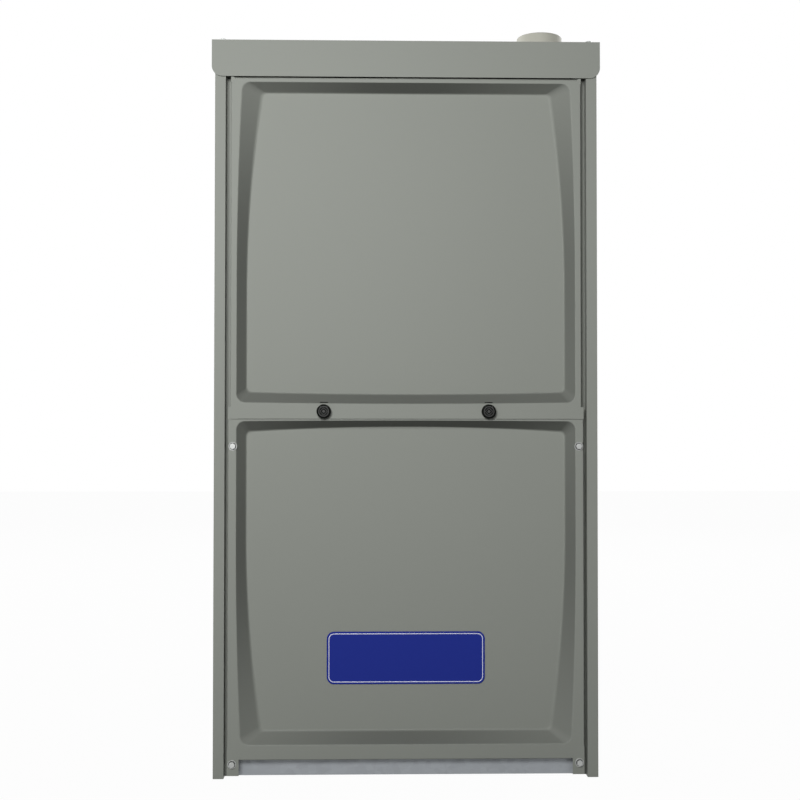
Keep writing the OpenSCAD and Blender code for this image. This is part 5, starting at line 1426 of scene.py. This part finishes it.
b = Build(AXLE).node("motor_mount", bend=1.2, cut=0.3)
ARM_R = 109 + 12
for a in (math.radians(v) for v in (30, 150, 270)):
    spot = ((ARM_R + 9) * math.cos(a), HOUSE_D0 - 3, (ARM_R + 9) * math.sin(a))
    b.turned([(3.2, 0), (7, 0), (8, 1), (8, 3), (6.4, 3.8), (6.4, 4.6), (3.2, 4.6), (3.2, 0)], spot,
             FRONT, rubber_black, sides=24)
    b.prism(hexagon(9.5), (spot[0], spot[1] - 4.5, spot[2]), FRONT, 4, bright_steel, edge=0.4)
b.piece("motor_mount")
print("blower housing, motor and mount done")

# %% [markdown]
# ## Heat exchanger
# Each burner fires into a tube of aluminised steel that runs back and forth three times, tinted by
# the heat near its mouth. What is left of the heat goes to a finned coil below. Its fins are thin
# plates threaded on the tubes, so they are a row of copies.

# %% Primary tubes, header and coil
b = Build().node("primary_tubes", tube_steel, bend=0.3, cut=0.2)
b.piece("primary_tubes", smooth=40)
b = Build().node("rear_header", aluminised, bend=3, cut=0.4)
HEAD_LOW, HEAD_HIGH = size_mm("rear_header")
for z in (HEAD_LOW[2] + 12, HEAD_HIGH[2] - 12):
    stud = Build().turned([(0, 0), (3, 0), (2.6, 1.3), (0, 1.9)],
                          (HEAD_LOW[0] + 16, HEAD_HIGH[1], z), REAR, bright_steel, sides=12)
    row(b, stud, 8, ((HEAD_HIGH[0] - HEAD_LOW[0] - 32) / 7, 0, 0))
b.piece("rear_header")

COIL, COIL_W, COIL_D, COIL_H = (-186.0, 311.0, 461.6), 372.0, 343.0, 96.0
FIN_PITCH = 3.0
b = Build(COIL)
fin = Build(COIL).box((1, 3, 1), (COIL_W - 1, 3.35, COIL_H - 1), fin_aluminium, edge=0)
fins = int((COIL_D - 6) / FIN_PITCH)
row(b, fin, fins, (0, FIN_PITCH, 0))
for d in (0, COIL_D - 2):
    b.box((0, d, 0), (COIL_W, d + 2, COIL_H), zinc_sheet, edge=0.5)
for z in (0, COIL_H - 1.2):
    for x in (0, COIL_W - 8):
        b.box((x, 0, z), (x + 8, COIL_D, z + 1.2), zinc_sheet, edge=0.3)
for level in (0, 1):
    tube = Build(COIL).turned([(7.2, -19), (7.9, -19.4), (8, -18), (8, 340), (7.2, 340),
                               (7.2, -19)], (40 + level * 4, 0, 28 + level * 38), DEPTHWISE,
                              bright_steel, sides=20)
    row(b, tube, 13, (24, 0, 0))
b.piece("secondary_coil")
print("coil fins:", fins)

# %% Blanket, collector box and trap
b = Build().node("insulation_blanket", bend=4, cut=1.2)
pin = Build().turned([(0, 0.2), (14, 0), (15, 0.3), (13, 0.8), (3, 1.0), (2, 1.7), (0, 1.9)],
                     (208.2, 350, 500), LEFT, bright_steel, sides=20)
row(b, row(Build(), pin, 4, (0, 110, 0)), 3, (0, 0, 140))
b.piece("insulation_blanket")

COLLECTOR, COLLECTOR_W, COLLECTOR_H = (-166.0, 260.0, 463.6), 375.2, 92.0
b = Build(COLLECTOR).node("collector_box", bend=2.5, cut=0.5)
rib = Build(COLLECTOR).box((22, -1.6, 10), (24.4, 1, COLLECTOR_H - 10), black_plastic, edge=0.5)
row(b, rib, 8, (25, 0, 0))
b.box((10, -1.6, 42), (204, 1, 44.4), black_plastic, edge=0.5)
COL_X, COL_D, COL_Z = COLLECTOR
spots = [(x, z) for x in (6, 106, 190, COLLECTOR_W - 7) for z in (7, COLLECTOR_H - 7)][:-1]
screws(b, [((COL_X + x, COL_D, COL_Z + z), FRONT) for x, z in spots], 6, 21)
b.piece("collector_box")

TRAP, TRAP_W = (-202.1, 62.0, 431.6), 62.0
b = Build(TRAP).node("condensate_trap", bend=3, cut=0.4)
rib = Build(TRAP).box((3, -1.2, 14), (TRAP_W - 3, 1, 16), black_plastic, edge=0.4)
row(b, rib, 5, (0, 0, 16))
b.turned([(0, 3), (8, 3), (9.4, 2.2), (9.8, 0), (0, 0)], (31, -1, 22), FRONT, white_plastic,
         sides=32)
b.box((30, -5.4, 15), (32, -3.4, 29), white_plastic, edge=0.4)
b.piece("condensate_trap")
print("blanket, collector box and trap done")

# %% [markdown]
# ## Inducer and vent
# A small fan draws the flue gas out. Its plastic housing is stiffened by ribs, its motor is an
# open frame with a bare lamination stack between two end bells and a cooling fan in front, and its
# outlet meets the vent pipe in a ribbed rubber sleeve with two worm-drive clamps.

# %% Inducer
IND_X, IND_Z, IND_D0, FAN_D = 93.1, 590.0, 196.0, 100.0
INDUCER = (IND_X, 0, IND_Z)
b = Build(INDUCER).node("inducer_housing", bend=2.2, cut=0.5)
for radius in (44.0, 60.0):
    b.turned([(radius, -0.2), (radius + 0.4, 1.4), (radius + 1.6, 1.4), (radius + 2, -0.2),
              (radius, -0.2)], (0, IND_D0, 0), FRONT, black_plastic, sides=72)
rib = Build(INDUCER).box((20, IND_D0 - 1.3, -1), (60, IND_D0 + 0.3, 1), black_plastic, edge=0.4)
spin(b, rib, 12)
screws(b, [((IND_X + 66 * math.cos(a), IND_D0, IND_Z + 66 * math.sin(a)), FRONT)
           for a in (math.radians(v) for v in (100, 150, 205, 255, 300, 350))], 8, 31)
b.piece("inducer_housing")

ROTOR_R, ROTOR_BLADES, FAN_BLADES = 62.0, 16, 5
b = Build(INDUCER)
blade = curved_strip(INDUCER, (26, ROTOR_R - 1), 10, 1.4, (210, 235))
spin(b, blade, ROTOR_BLADES)
b.turned([(4, 26), (4, 10), (11, 10), (12, 11.5), (12, 23), (18, 24), (ROTOR_R - 0.6, 24),
          (ROTOR_R, 24.6), (ROTOR_R, 25.4), (ROTOR_R - 0.6, 26), (4, 26)], (0, 210, 0), DEPTHWISE,
         zinc_sheet, sides=72)
b.turned([(3.2, 0), (4, 0.8), (4, 143.2), (3.2, 144)], (0, 94, 0), DEPTHWISE, bright_steel,
         sides=28)
b.turned([(4, -4), (9, -4), (10, -3), (10, 7), (9, 8), (4, 8), (4, -4)], (0, FAN_D, 0), DEPTHWISE,
         black_plastic, sides=36)
vane = Build(INDUCER).loft([[(8, FAN_D - 0.6 + t, -8), (22, FAN_D - 1.2 + t, -7.6),
                             (38, FAN_D - 1.6 + t, -4), (38, FAN_D + 1.2 + t, 6),
                             (22, FAN_D + 2 + t, 8), (8, FAN_D + 2.2 + t, 7)] for t in (0, 1.6)],
                           black_plastic)
spin(b, vane, FAN_BLADES)
b.piece("inducer_wheel")

b = Build(INDUCER).node("inducer_motor", bend=2, cut=0.4)
sheet = Build(INDUCER).turned([(46.9, 0), (47.5, 0.2), (47.5, 1.2), (46.9, 1.4), (46.9, 0)],
                              (0, 128, 0), DEPTHWISE, bright_steel, sides=48)
row(b, sheet, 24, (0, 1.9, 0))
# The ports are dark patches on the end bell: painted shade in place of openings.
port = Build(INDUCER).box((20, 113.7, -3), (36, 114.6, 3), rubber_black, edge=0.3)
spin(b, port, 8)
bolt = Build(INDUCER).prism(hexagon(6), (37, 114, 14), FRONT, 2.2, bright_steel, edge=0.3)
spin(b, bolt, 4)
b.piece("inducer_motor")
print("inducer:", ROTOR_BLADES, "blades, fan", FAN_BLADES)

# %% Vent sleeve and clamps
SLEEVE_Z, SLEEVE_L, CLAMP_W = 664.0, 80.0, 12.0
profile = [(30.2, 0), (34.4, 0), (35.15, 0.8), (35.15, 4)]
for i in range(3):
    z = 24 + i * 11
    profile += [(34.6, z), (33.8, z + 2), (33.8, z + 6), (34.6, z + 8)]
profile += [(35.15, SLEEVE_L - 22), (35.15, SLEEVE_L - 0.8), (34.4, SLEEVE_L), (30.2, SLEEVE_L),
            (30.2, 0)]
Build(VENT).turned(profile, (0, 0, SLEEVE_Z), UP, rubber_black, sides=96).piece("vent_coupling")
b = Build(VENT)
for z in (SLEEVE_Z + 6, SLEEVE_Z + SLEEVE_L - 6 - CLAMP_W):
    b.turned([(35.2, 0.3), (35.5, 0), (35.95, 0.2), (36, 0.6), (36, 11.4), (35.95, 11.8),
              (35.5, 12), (35.2, 11.7), (35.2, 0.3)], (0, 0, z), UP, bright_steel, sides=96)
    slit = Build(VENT).box((35.4, -0.5, z + 2.6), (36.1, 0.5, z + 9.4), rubber_black, edge=0.1)
    spin(b, slit, 44, UP)
    b.box((-9, -43.2, z + 0.5), (9, -34.4, z + 11.5), bright_steel, edge=1.6)
    b.prism(hexagon(7.8), (-9, -39.6, z + 6), RIGHT, 17.8, bright_steel, edge=0.5)
b.piece("vent_clamps")
print("sleeve and clamps done")

# %% [markdown]
# ## Burners and gas train
# Four in-shot burners sit in a sheet box. A black iron manifold feeds each through a brass jet.
# The valve is a die casting with a black coil cap, a turned regulator tower, its terminals and an
# on-off knob. Switches watch for flames that roll out, and their red buttons stand out from the
# rest.

# %% Burner box, burners, manifold
BOX_D, PITCH = 170.0, 52.0
burner_places = [(i - 1.5) * PITCH for i in range(4)]
b = Build().node("burner_box", bend=1, cut=0.3)
screws(b, [((x, 288.7, z), FRONT) for x in (-125, 125) for z in (722, 760, 798)], 6, 41)
b.turned([(0, 0.6), (7, 0.6), (8.5, 1.4), (10, 1.4), (10.6, 0), (0, 0)], (0, BOX_D, BURNER_Z + 30),
         FRONT, bright_steel, sides=32)
b.turned([(0, 0.8), (7.2, 0.8), (7.2, 0.4), (0, 0.4)], (0, BOX_D, BURNER_Z + 30), FRONT,
         black_plastic, sides=32)
b.piece("burner_box")
b = Build().node("burners", burner_steel, bend=0.5, cut=0.3)
for x in burner_places:
    b.turned([(18, 0), (18.6, 0.6), (18.6, 2), (18, 2.6), (17.6, 1.3), (18, 0)], (x, 262, BURNER_Z),
             DEPTHWISE, burner_steel, sides=40)
b.piece("burners")
b = Build().node("gas_manifold", bend=0.8, cut=0.3)
b.prism([(-7, -7), (7, -7), (7, 7), (-7, 7)], (112, 144, BURNER_Z), RIGHT, 1.9, black_iron,
        edge=0.6)
for x in burner_places:
    b.turned([(8.6, 9.6), (8.2, 11.2), (4.1, 11.2), (4.1, 9), (8.6, 9.6)], (x, 144, BURNER_Z),
             DEPTHWISE, black_iron, sides=28)
b.piece("gas_manifold")
Build().node("gas_orifices", turned_brass, bend=0.4, cut=0.15).piece("gas_orifices")
print("burners at", burner_places)

# %% Gas valve and its knob
VALVE_X, VALVE_D, VALVE_Z = VALVE = -165.3, 112.0, 718.0
VALVE_HALF, VALVE_H = 31.0, 80.0
b = Build(VALVE).node("gas_valve", bend=2.4, cut=0.5)
b.box((-VALVE_HALF + 7, 7, VALVE_H + 3), (VALVE_HALF - 7, 55, VALVE_H + 21.8), black_plastic,
      edge=2.5)
rib = Build(VALVE).box((-VALVE_HALF + 12, 6.6, VALVE_H + 5), (-VALVE_HALF + 14, 9, VALVE_H + 19),
                       black_plastic, edge=0.5)
row(b, rib, 5, (9, 0, 0))
b.turned([(0, 1.9), (3, 1.9), (3.4, 1.2), (5.2, 1.2), (5.6, 0.8), (5.6, -1), (0, -1)], (20, 0, 16),
         FRONT, bright_steel, sides=28)
b.turned([(0, 0.9), (5.6, 0.9), (6.4, 0.3), (6.4, -1), (0, -1)], (-19, 0, 14), FRONT, turned_brass,
         sides=28)
b.box((-12, -1.4, 26), (14, 1, 36), black_plastic, edge=0.6)
tabs(b, (-9, -7, 28), 4, 6, (0.8, 7, 5))
for x in (-VALVE_HALF + 5, VALVE_HALF - 5):
    for z in (5, VALVE_H - 5):
        b.turned([(0, 0.5), (1.6, 0.5), (1.9, 1.1), (2.9, 1.1), (3.2, 0.6), (3.2, -1), (0, -1)],
                 (x, 0, z), FRONT, bright_steel, sides=20)
b.turned([(9.5, 0), (15, 0), (16, 1), (16, 3), (14.6, 3), (14.6, 5), (16, 5), (16, 8), (9.5, 8),
          (9.5, 0)], (-VALVE_HALF - 12, 32, BURNER_Z - VALVE_Z), RIGHT, cast_aluminium, sides=40)
b.piece("gas_valve")

VALVE_KNOB = (VALVE_X, VALVE_D - 8, 774.0)
b = Build(VALVE_KNOB)
b.turned([(0, 7.7), (4, 7.7), (14, 7.7), (15, 7), (15, 3), (14.2, 0.5), (13, 0), (0, 0)], (0, 0, 0),
         DEPTHWISE, black_plastic, sides=56)
b.turned([(3.9, 0), (3.9, 17.4), (3.4, 18), (0, 18)], (0, 0, 0), DEPTHWISE, black_plastic, sides=24)
b.box((-3, -8, -13), (3, 1, 13), black_plastic, edge=1)
b.box((-0.8, -8.1, 5), (0.8, -7.6, 12.4), white_plastic, edge=0.15)
grip = Build(VALVE_KNOB).box((14.3, 1.2, -0.7), (15, 6.6, 0.7), black_plastic, edge=0.12)
spin(b, grip, 30)
b.piece("gas_valve_knob")

# %% Igniter, flame sensor, rollout switches
IGN_X, IGN_Z = 86.0, 736.0
b = Build((IGN_X, 0, IGN_Z))
b.box((-9, 156, -7), (9, 169.9, 7), ceramic_white, edge=1.4)
b.turned([(4.7, 0), (4.7, 42.5), (4, 44), (0, 44)], (0, 156, 0), DEPTHWISE, ceramic_white, sides=32)
b.box((-4, 196, -2), (4, 256, 1.5), silicon_dark, edge=0.5)
for x in (-3.2, 3.2):
    cable(b, [(x, 157, 0), (x, 152, 0), (x * 0.8, 148, 3), (x * 0.6, 147, 6.5)], 1.0, white_plastic,
          sides=10)
b.piece("igniter")
b = Build((-IGN_X, 0, IGN_Z))
b.turned([(0, 0), (1.2, 0.4), (1.2, 106), (0, 106)], (0, 150, 0), DEPTHWISE, bright_steel, sides=16)
b.turned([(0, 0), (2.4, 0), (2.8, 0.6), (2.8, 30), (0, 30)], (0, 160, 0), DEPTHWISE, ceramic_white,
         sides=28)
b.turned([(0, 0), (5.4, 0), (6, 0.8), (6, 5.8), (0, 5.8)], (0, 164, 0), DEPTHWISE, bright_steel,
         sides=32)
b.piece("flame_sensor")

ROLL_X, ROLL_Z = size_mm("rollout_switches")[1][0] - 14, 790.0
b = Build().node("rollout_switches", bend=0.7, cut=0.3)
for sx in (-1, 1):
    b.turned([(9.05, 0), (9.35, 0.4), (9.35, 2.4), (9.05, 2.8), (8.5, 1.4), (9.05, 0)],
             (sx * ROLL_X, 164, ROLL_Z), DEPTHWISE, bright_steel, sides=36)
b.piece("rollout_switches")
for node in ("reset_button_left", "reset_button_right"):
    low, high = size_mm(node)
    mid_x, mid_z = (low[0] + high[0]) / 2, (low[2] + high[2]) / 2
    b = Build()
    b.turned([(0, 0), (1.5, 0), (2, 0.5), (2, 7.3), (1.8, 7.5), (0, 7.5)], (mid_x, low[1], mid_z),
             DEPTHWISE, red_plastic, sides=28)
    b.piece(node)
print("igniter, sensor and switches done")

# %% Pressure switch, limit switch and hoses
PS_X, PS_D, PS_Z = PRESSURE = -95.0, 236.0, 618.0
b = Build(PRESSURE).node("pressure_switch", bend=1.4, cut=0.4)
lug = Build(PRESSURE).turned([(0, 1.6), (1.9, 1.6), (2.3, 1.2), (2.4, 0), (0, 0)], (33, 6, 0),
                             FRONT, bright_steel, sides=14)
spin(b, lug, 8)
b.turned([(22, 0), (22.6, 1.2), (24.6, 1.2), (25.2, 0), (22, 0)], (0, 0, 0), FRONT, black_plastic,
         sides=56)
b.turned([(10, 0), (10.4, 1.0), (12, 1.0), (12.4, 0), (10, 0)], (0, 0, 0), FRONT, black_plastic,
         sides=40)
tabs(b, (-16, -7, -17), 3, 4.5, (0.8, 8, 6))
b.piece("pressure_switch")
b = Build().node("limit_switch", bend=0.6, cut=0.3)
tabs(b, (-180, 272 + 6.2, 654), 2, 9, (0.8, 1.5, 6))
b.piece("limit_switch")

PORT_D, TAP_X = IND_D0 - 12, IND_X - 62
tip = PS_D - 14
b = Build()
cable(b, [(PS_X, tip, PS_Z), (PS_X, tip - 14, PS_Z), (PS_X + 22, tip - 42, PS_Z + 6),
          (PS_X + 62, tip - 56, PS_Z + 6), (TAP_X - 18, PORT_D - 34, IND_Z + 14),
          (TAP_X, PORT_D - 8, IND_Z), (TAP_X, IND_D0, IND_Z)], 3.4, rubber_black, sides=20,
      spacing=3)
b.piece("pressure_hose")
DRAIN_X, DRAIN_Z, DRAIN_D, INLET_X, INLET_D, INLET_Z = -150.0, 479.6, 246.0, -160.1, 100.0, 541.6
b = Build()
hose_route = [(DRAIN_X, DRAIN_D, DRAIN_Z), (DRAIN_X, DRAIN_D - 16, DRAIN_Z),
              (DRAIN_X + 4, DRAIN_D - 50, DRAIN_Z + 30), (DRAIN_X + 2, 150, INLET_Z + 34),
              (INLET_X + 2, 116, INLET_Z + 42), (INLET_X, INLET_D, INLET_Z + 16),
              (INLET_X, INLET_D, INLET_Z)]
cable(b, hose_route, 6.9, hose_clear, sides=24, spacing=3)
b.piece("drain_hose")
print("switches and hoses done")

# %% [markdown]
# ## Controls
# The board carries relays, terminals, capacitors, a fuse and a small indicator lamp. The
# transformer is a stack of iron sheets round a taped coil. Wires run up to the valve and to the
# inducer in two bundles, each tied at a few places.

# %% Control board
BOARD_D, BOARD_TOP, BOARD_W, BOARD_H = 102.0, 412.0, 150.0, 98.0
BOARD = (-196.1, BOARD_D, BOARD_TOP - BOARD_H)
b = Build(BOARD)
b.box((0, 0, 0), (BOARD_W, 1.6, BOARD_H), board_green, edge=0.2)
for x in (8, BOARD_W - 8):
    for z in (8, BOARD_H - 8):
        b.turned([(3, 1.5), (3, 10), (0, 10), (0, 1.5)], (x, 0, z), DEPTHWISE, white_plastic,
                 sides=20)
        b.turned([(0, 1.4), (2.8, 1.4), (3.3, 0.4), (3.3, 0), (0, 0)], (x, 0, z), FRONT,
                 white_plastic, sides=20)
relay = Build(BOARD).box((12, -15.8, BOARD_H - 34), (30, 0.2, BOARD_H - 12), black_plastic,
                         edge=0.8)
row(b, relay, 4, (24, 0, 0))
mark = Build(BOARD).box((14.5, -15.95, BOARD_H - 31), (27.5, -15.7, BOARD_H - 24), white_plastic,
                        edge=0.05)
row(b, mark, 4, (24, 0, 0))
tabs(b, (16, -8, BOARD_H - 9.5), 12, 7.4, (0.8, 8, 5))
b.box((14, -10, 6), (82.5, 0.2, 16), wire_blue, edge=0.5)
head = Build(BOARD).turned([(0, 0.5), (1.6, 0.5), (2, 1.2), (2.7, 1.2), (2.9, 0), (0, 0)],
                           (19, -9.4, 11), FRONT, bright_steel, sides=14)
row(b, head, 8, (8.4, 0, 0))
b.box((93, -12, 6), (135, 0.2, 20), white_plastic, edge=0.8)
# The connector's openings are dark squares: painted shade in place of cavities.
pin = Build(BOARD).box((96.5, -12.3, 9), (99, -11.8, 11.5), rubber_black, edge=0.1)
row(b, row(Build(BOARD), pin, 7, (5.3, 0, 0)), 2, (0, 0, 5.2))
for i in range(2):
    x = BOARD_W - 32 - i * 18
    b.turned([(6.4, 0), (6.4, 15.4), (6.1, 16), (6.4, 16.6), (6.2, 18), (0, 18)], (x, 0, 44), FRONT,
             motor_black, sides=32)
    b.turned([(0, 17.9), (5.2, 17.9), (5.2, 18.1), (0, 18.1)], (x, 0, 44), FRONT, bright_steel,
             sides=32)
b.box((14, -6, 30), (44, 0.2, 52), black_plastic, edge=0.6)
leg = Build(BOARD).box((16, -2, 28.4), (17, 0.2, 53.6), bright_steel, edge=0.1)
row(b, leg, 10, (2.9, 0, 0))
b.box((56, -9, 34), (76, 0.2, 40), wire_yellow, edge=0.6)
film = Build(BOARD).turned([(0, -3), (0.9, -3), (1.3, -2), (1.3, 2), (0.9, 3), (0, 3)],
                           (56, -1.4, 50), UP, amber_tape, sides=12)
row(b, film, 6, (5.2, 0, 0))
b.turned([(0, 3.4), (1.4, 3), (1.8, 2), (1.8, 0), (0, 0)], (100, 0, 58), FRONT, red_plastic,
         sides=18)
b.box((92, -4, 26), (106, 0.2, 32), red_plastic, edge=0.4)
key = Build(BOARD).box((94, -5, 27.6), (95.6, -3.6, 30.4), white_plastic, edge=0.2)
row(b, key, 4, (3, 0, 0))
b.piece("control_board")
print("control board done")

# %% Transformer, boxes and switch
IRON, IRON_W, IRON_D, IRON_H = (24.0, 65.9, 358.0), 60.0, 36.0, 50.0
b = Build(IRON)
lamina = Build(IRON).box((0, 0, 0), (IRON_W, 0.8, IRON_H), black_iron, edge=0.1)
row(b, lamina, 36, (0, 1.0, 0))
for d0, d1 in ((-10, 0), (IRON_D, IRON_D + 9.9)):
    b.box((14, d0, 6), (IRON_W - 14, d1, IRON_H - 6), amber_tape, edge=3)
    b.box((15, d0 + 2, 4.6), (IRON_W - 15, d1 - 1, IRON_H - 4.6), copper_winding, edge=2)
b.box((-10, IRON_D - 2, 4), (IRON_W + 10, IRON_D, IRON_H - 4), zinc_sheet, edge=0.5)
for x in (-10, IRON_W + 4):
    b.box((x + 0.2, IRON_D - 1, 4.4), (x + 5.8, IRON_D + 9.9, IRON_H - 4.4), zinc_sheet, edge=0.5)
for i, colour in enumerate((wire_red, wire_blue, wire_yellow)):
    x = 20 + 8 * i
    cable(b, [(x, -6, IRON_H - 8), (x, -8, IRON_H - 5.6), (x - 2, -7, IRON_H - 2),
              (x - 5, -3, IRON_H - 0.6)], 1.1, colour, sides=10, spacing=2)
b.piece("transformer")

J_LOW, J_HIGH = size_mm("junction_box")
b = Build().node("junction_box", bend=1, cut=0.3)
ring_at = (J_LOW[0], 53, (J_LOW[2] + J_HIGH[2]) / 2)
b.turned([(9.5, 0), (9.9, 0.25), (10.3, 0), (9.9, 0.35), (9.5, 0)], ring_at, LEFT, zinc_sheet,
         sides=32)
b.piece("junction_box")
b = Build().node("door_switch", bend=0.8, cut=0.3)
S_LOW, S_HIGH = size_mm("door_switch")
tabs(b, (113, S_HIGH[1] - 1, S_LOW[2] + 8), 2, 12, (0.8, 0.95, 6))
b.piece("door_switch")
P_LOW, P_HIGH = size_mm("door_switch_plunger")
length = P_HIGH[1] - P_LOW[1]
Build().turned([(0, 0), (1.6, 0), (2.3, 0.6), (2.5, 1.6), (2.5, length - 0.3), (2.2, length),
                (0, length)], (120, P_LOW[1], (P_LOW[2] + P_HIGH[2]) / 2), DEPTHWISE, white_plastic,
               sides=32).piece("door_switch_plunger")
print("transformer, boxes and switch done")

# %% Wiring
LOOM_X, LOOM_D, LOOM_Z = -60.0, 78.0, BOARD_TOP - 12
STATOR_R = 42.0
DECK_Z, DECK_TOP = 430.6, 431.6


def loom(b, route, colours, spread=1.75, radius=1.2):
    """A bundle of wires round one route, with ties."""
    for k, colour in enumerate(colours):
        a = 2 * math.pi * k / len(colours)
        cable(b, [(x + spread * math.cos(a + 0.35 * i), d + spread * math.sin(a + 0.35 * i) * 0.5,
                   z + spread * math.sin(a + 0.35 * i) * 0.5) for i, (x, d, z) in enumerate(route)],
              radius, colour, sides=10, spacing=4)
    for low, high in zip(route[3:-2], route[4:-1]):
        middle = [(a + c) / 2 for a, c in zip(low, high)]
        along = Vector(high) - Vector(low)
        b.turned([(2.4, -1.3), (3.4, -1.3), (3.6, -1), (3.6, 1), (3.4, 1.3), (2.4, 1.3),
                  (2.4, -1.3)], middle, tuple(along.normalized()), black_plastic, sides=16)
    return b


b = Build()
loom(b, [(LOOM_X - 4, BOARD_D, LOOM_Z + 18), (LOOM_X - 4, BOARD_D - 10, LOOM_Z + 19),
         (LOOM_X - 4, LOOM_D, DECK_Z - 6), (LOOM_X - 4, LOOM_D, DECK_TOP + 16),
         (LOOM_X - 12, LOOM_D + 2, DECK_TOP + 90), (LOOM_X - 52, LOOM_D + 6, DECK_TOP + 190),
         (VALVE_X + 14, VALVE_D + 22, VALVE_Z - 34), (VALVE_X + 8, VALVE_D + 30, VALVE_Z - 10),
         (VALVE_X + 8, VALVE_D + 30, VALVE_Z)], [wire_red, wire_yellow, wire_brown])
loom(b, [(LOOM_X + 4, BOARD_D, LOOM_Z + 18), (LOOM_X + 4, BOARD_D - 10, LOOM_Z + 19),
         (LOOM_X + 4, LOOM_D, DECK_Z - 6), (LOOM_X + 4, LOOM_D, DECK_TOP + 16),
         (LOOM_X + 14, LOOM_D + 6, DECK_TOP + 60), (IND_X - 70, FAN_D + 20, IND_Z - 60),
         (IND_X - 20, FAN_D + 40, IND_Z - STATOR_R - 26), (IND_X, FAN_D + 44,
                                                           IND_Z - STATOR_R - 14),
         (IND_X, FAN_D + 44, IND_Z - STATOR_R - 5)], [rubber_black, white_plastic, wire_blue])
b.piece("wiring_harness")
print("wiring done")

# %% Whatever still shows from the frame gets its finish
for node, obj in frame["nodes"].items():
    if not obj.hide_render:
        for i in range(max(1, len(obj.material_slots))):
            if obj.material_slots:
                obj.material_slots[i].material = FINISH_OF[node]
            else:
                obj.data.materials.append(FINISH_OF[node])
print("left as they are:", sum(not obj.hide_render for obj in frame["nodes"].values()))

# %% [markdown]
# ## Sizes
# The size of the finished furnace is written next to the size of the CAD model, so both can be
# compared.

# %% Write both sizes and finish
low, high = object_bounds()
print("cad", [round(v, 4) for v in (*cad_low, *cad_high)], "visual",
      [round(v, 4) for v in (*low, *high)])
{"cad": [list(cad_low), list(cad_high)], "visual": [list(low), list(high)]}
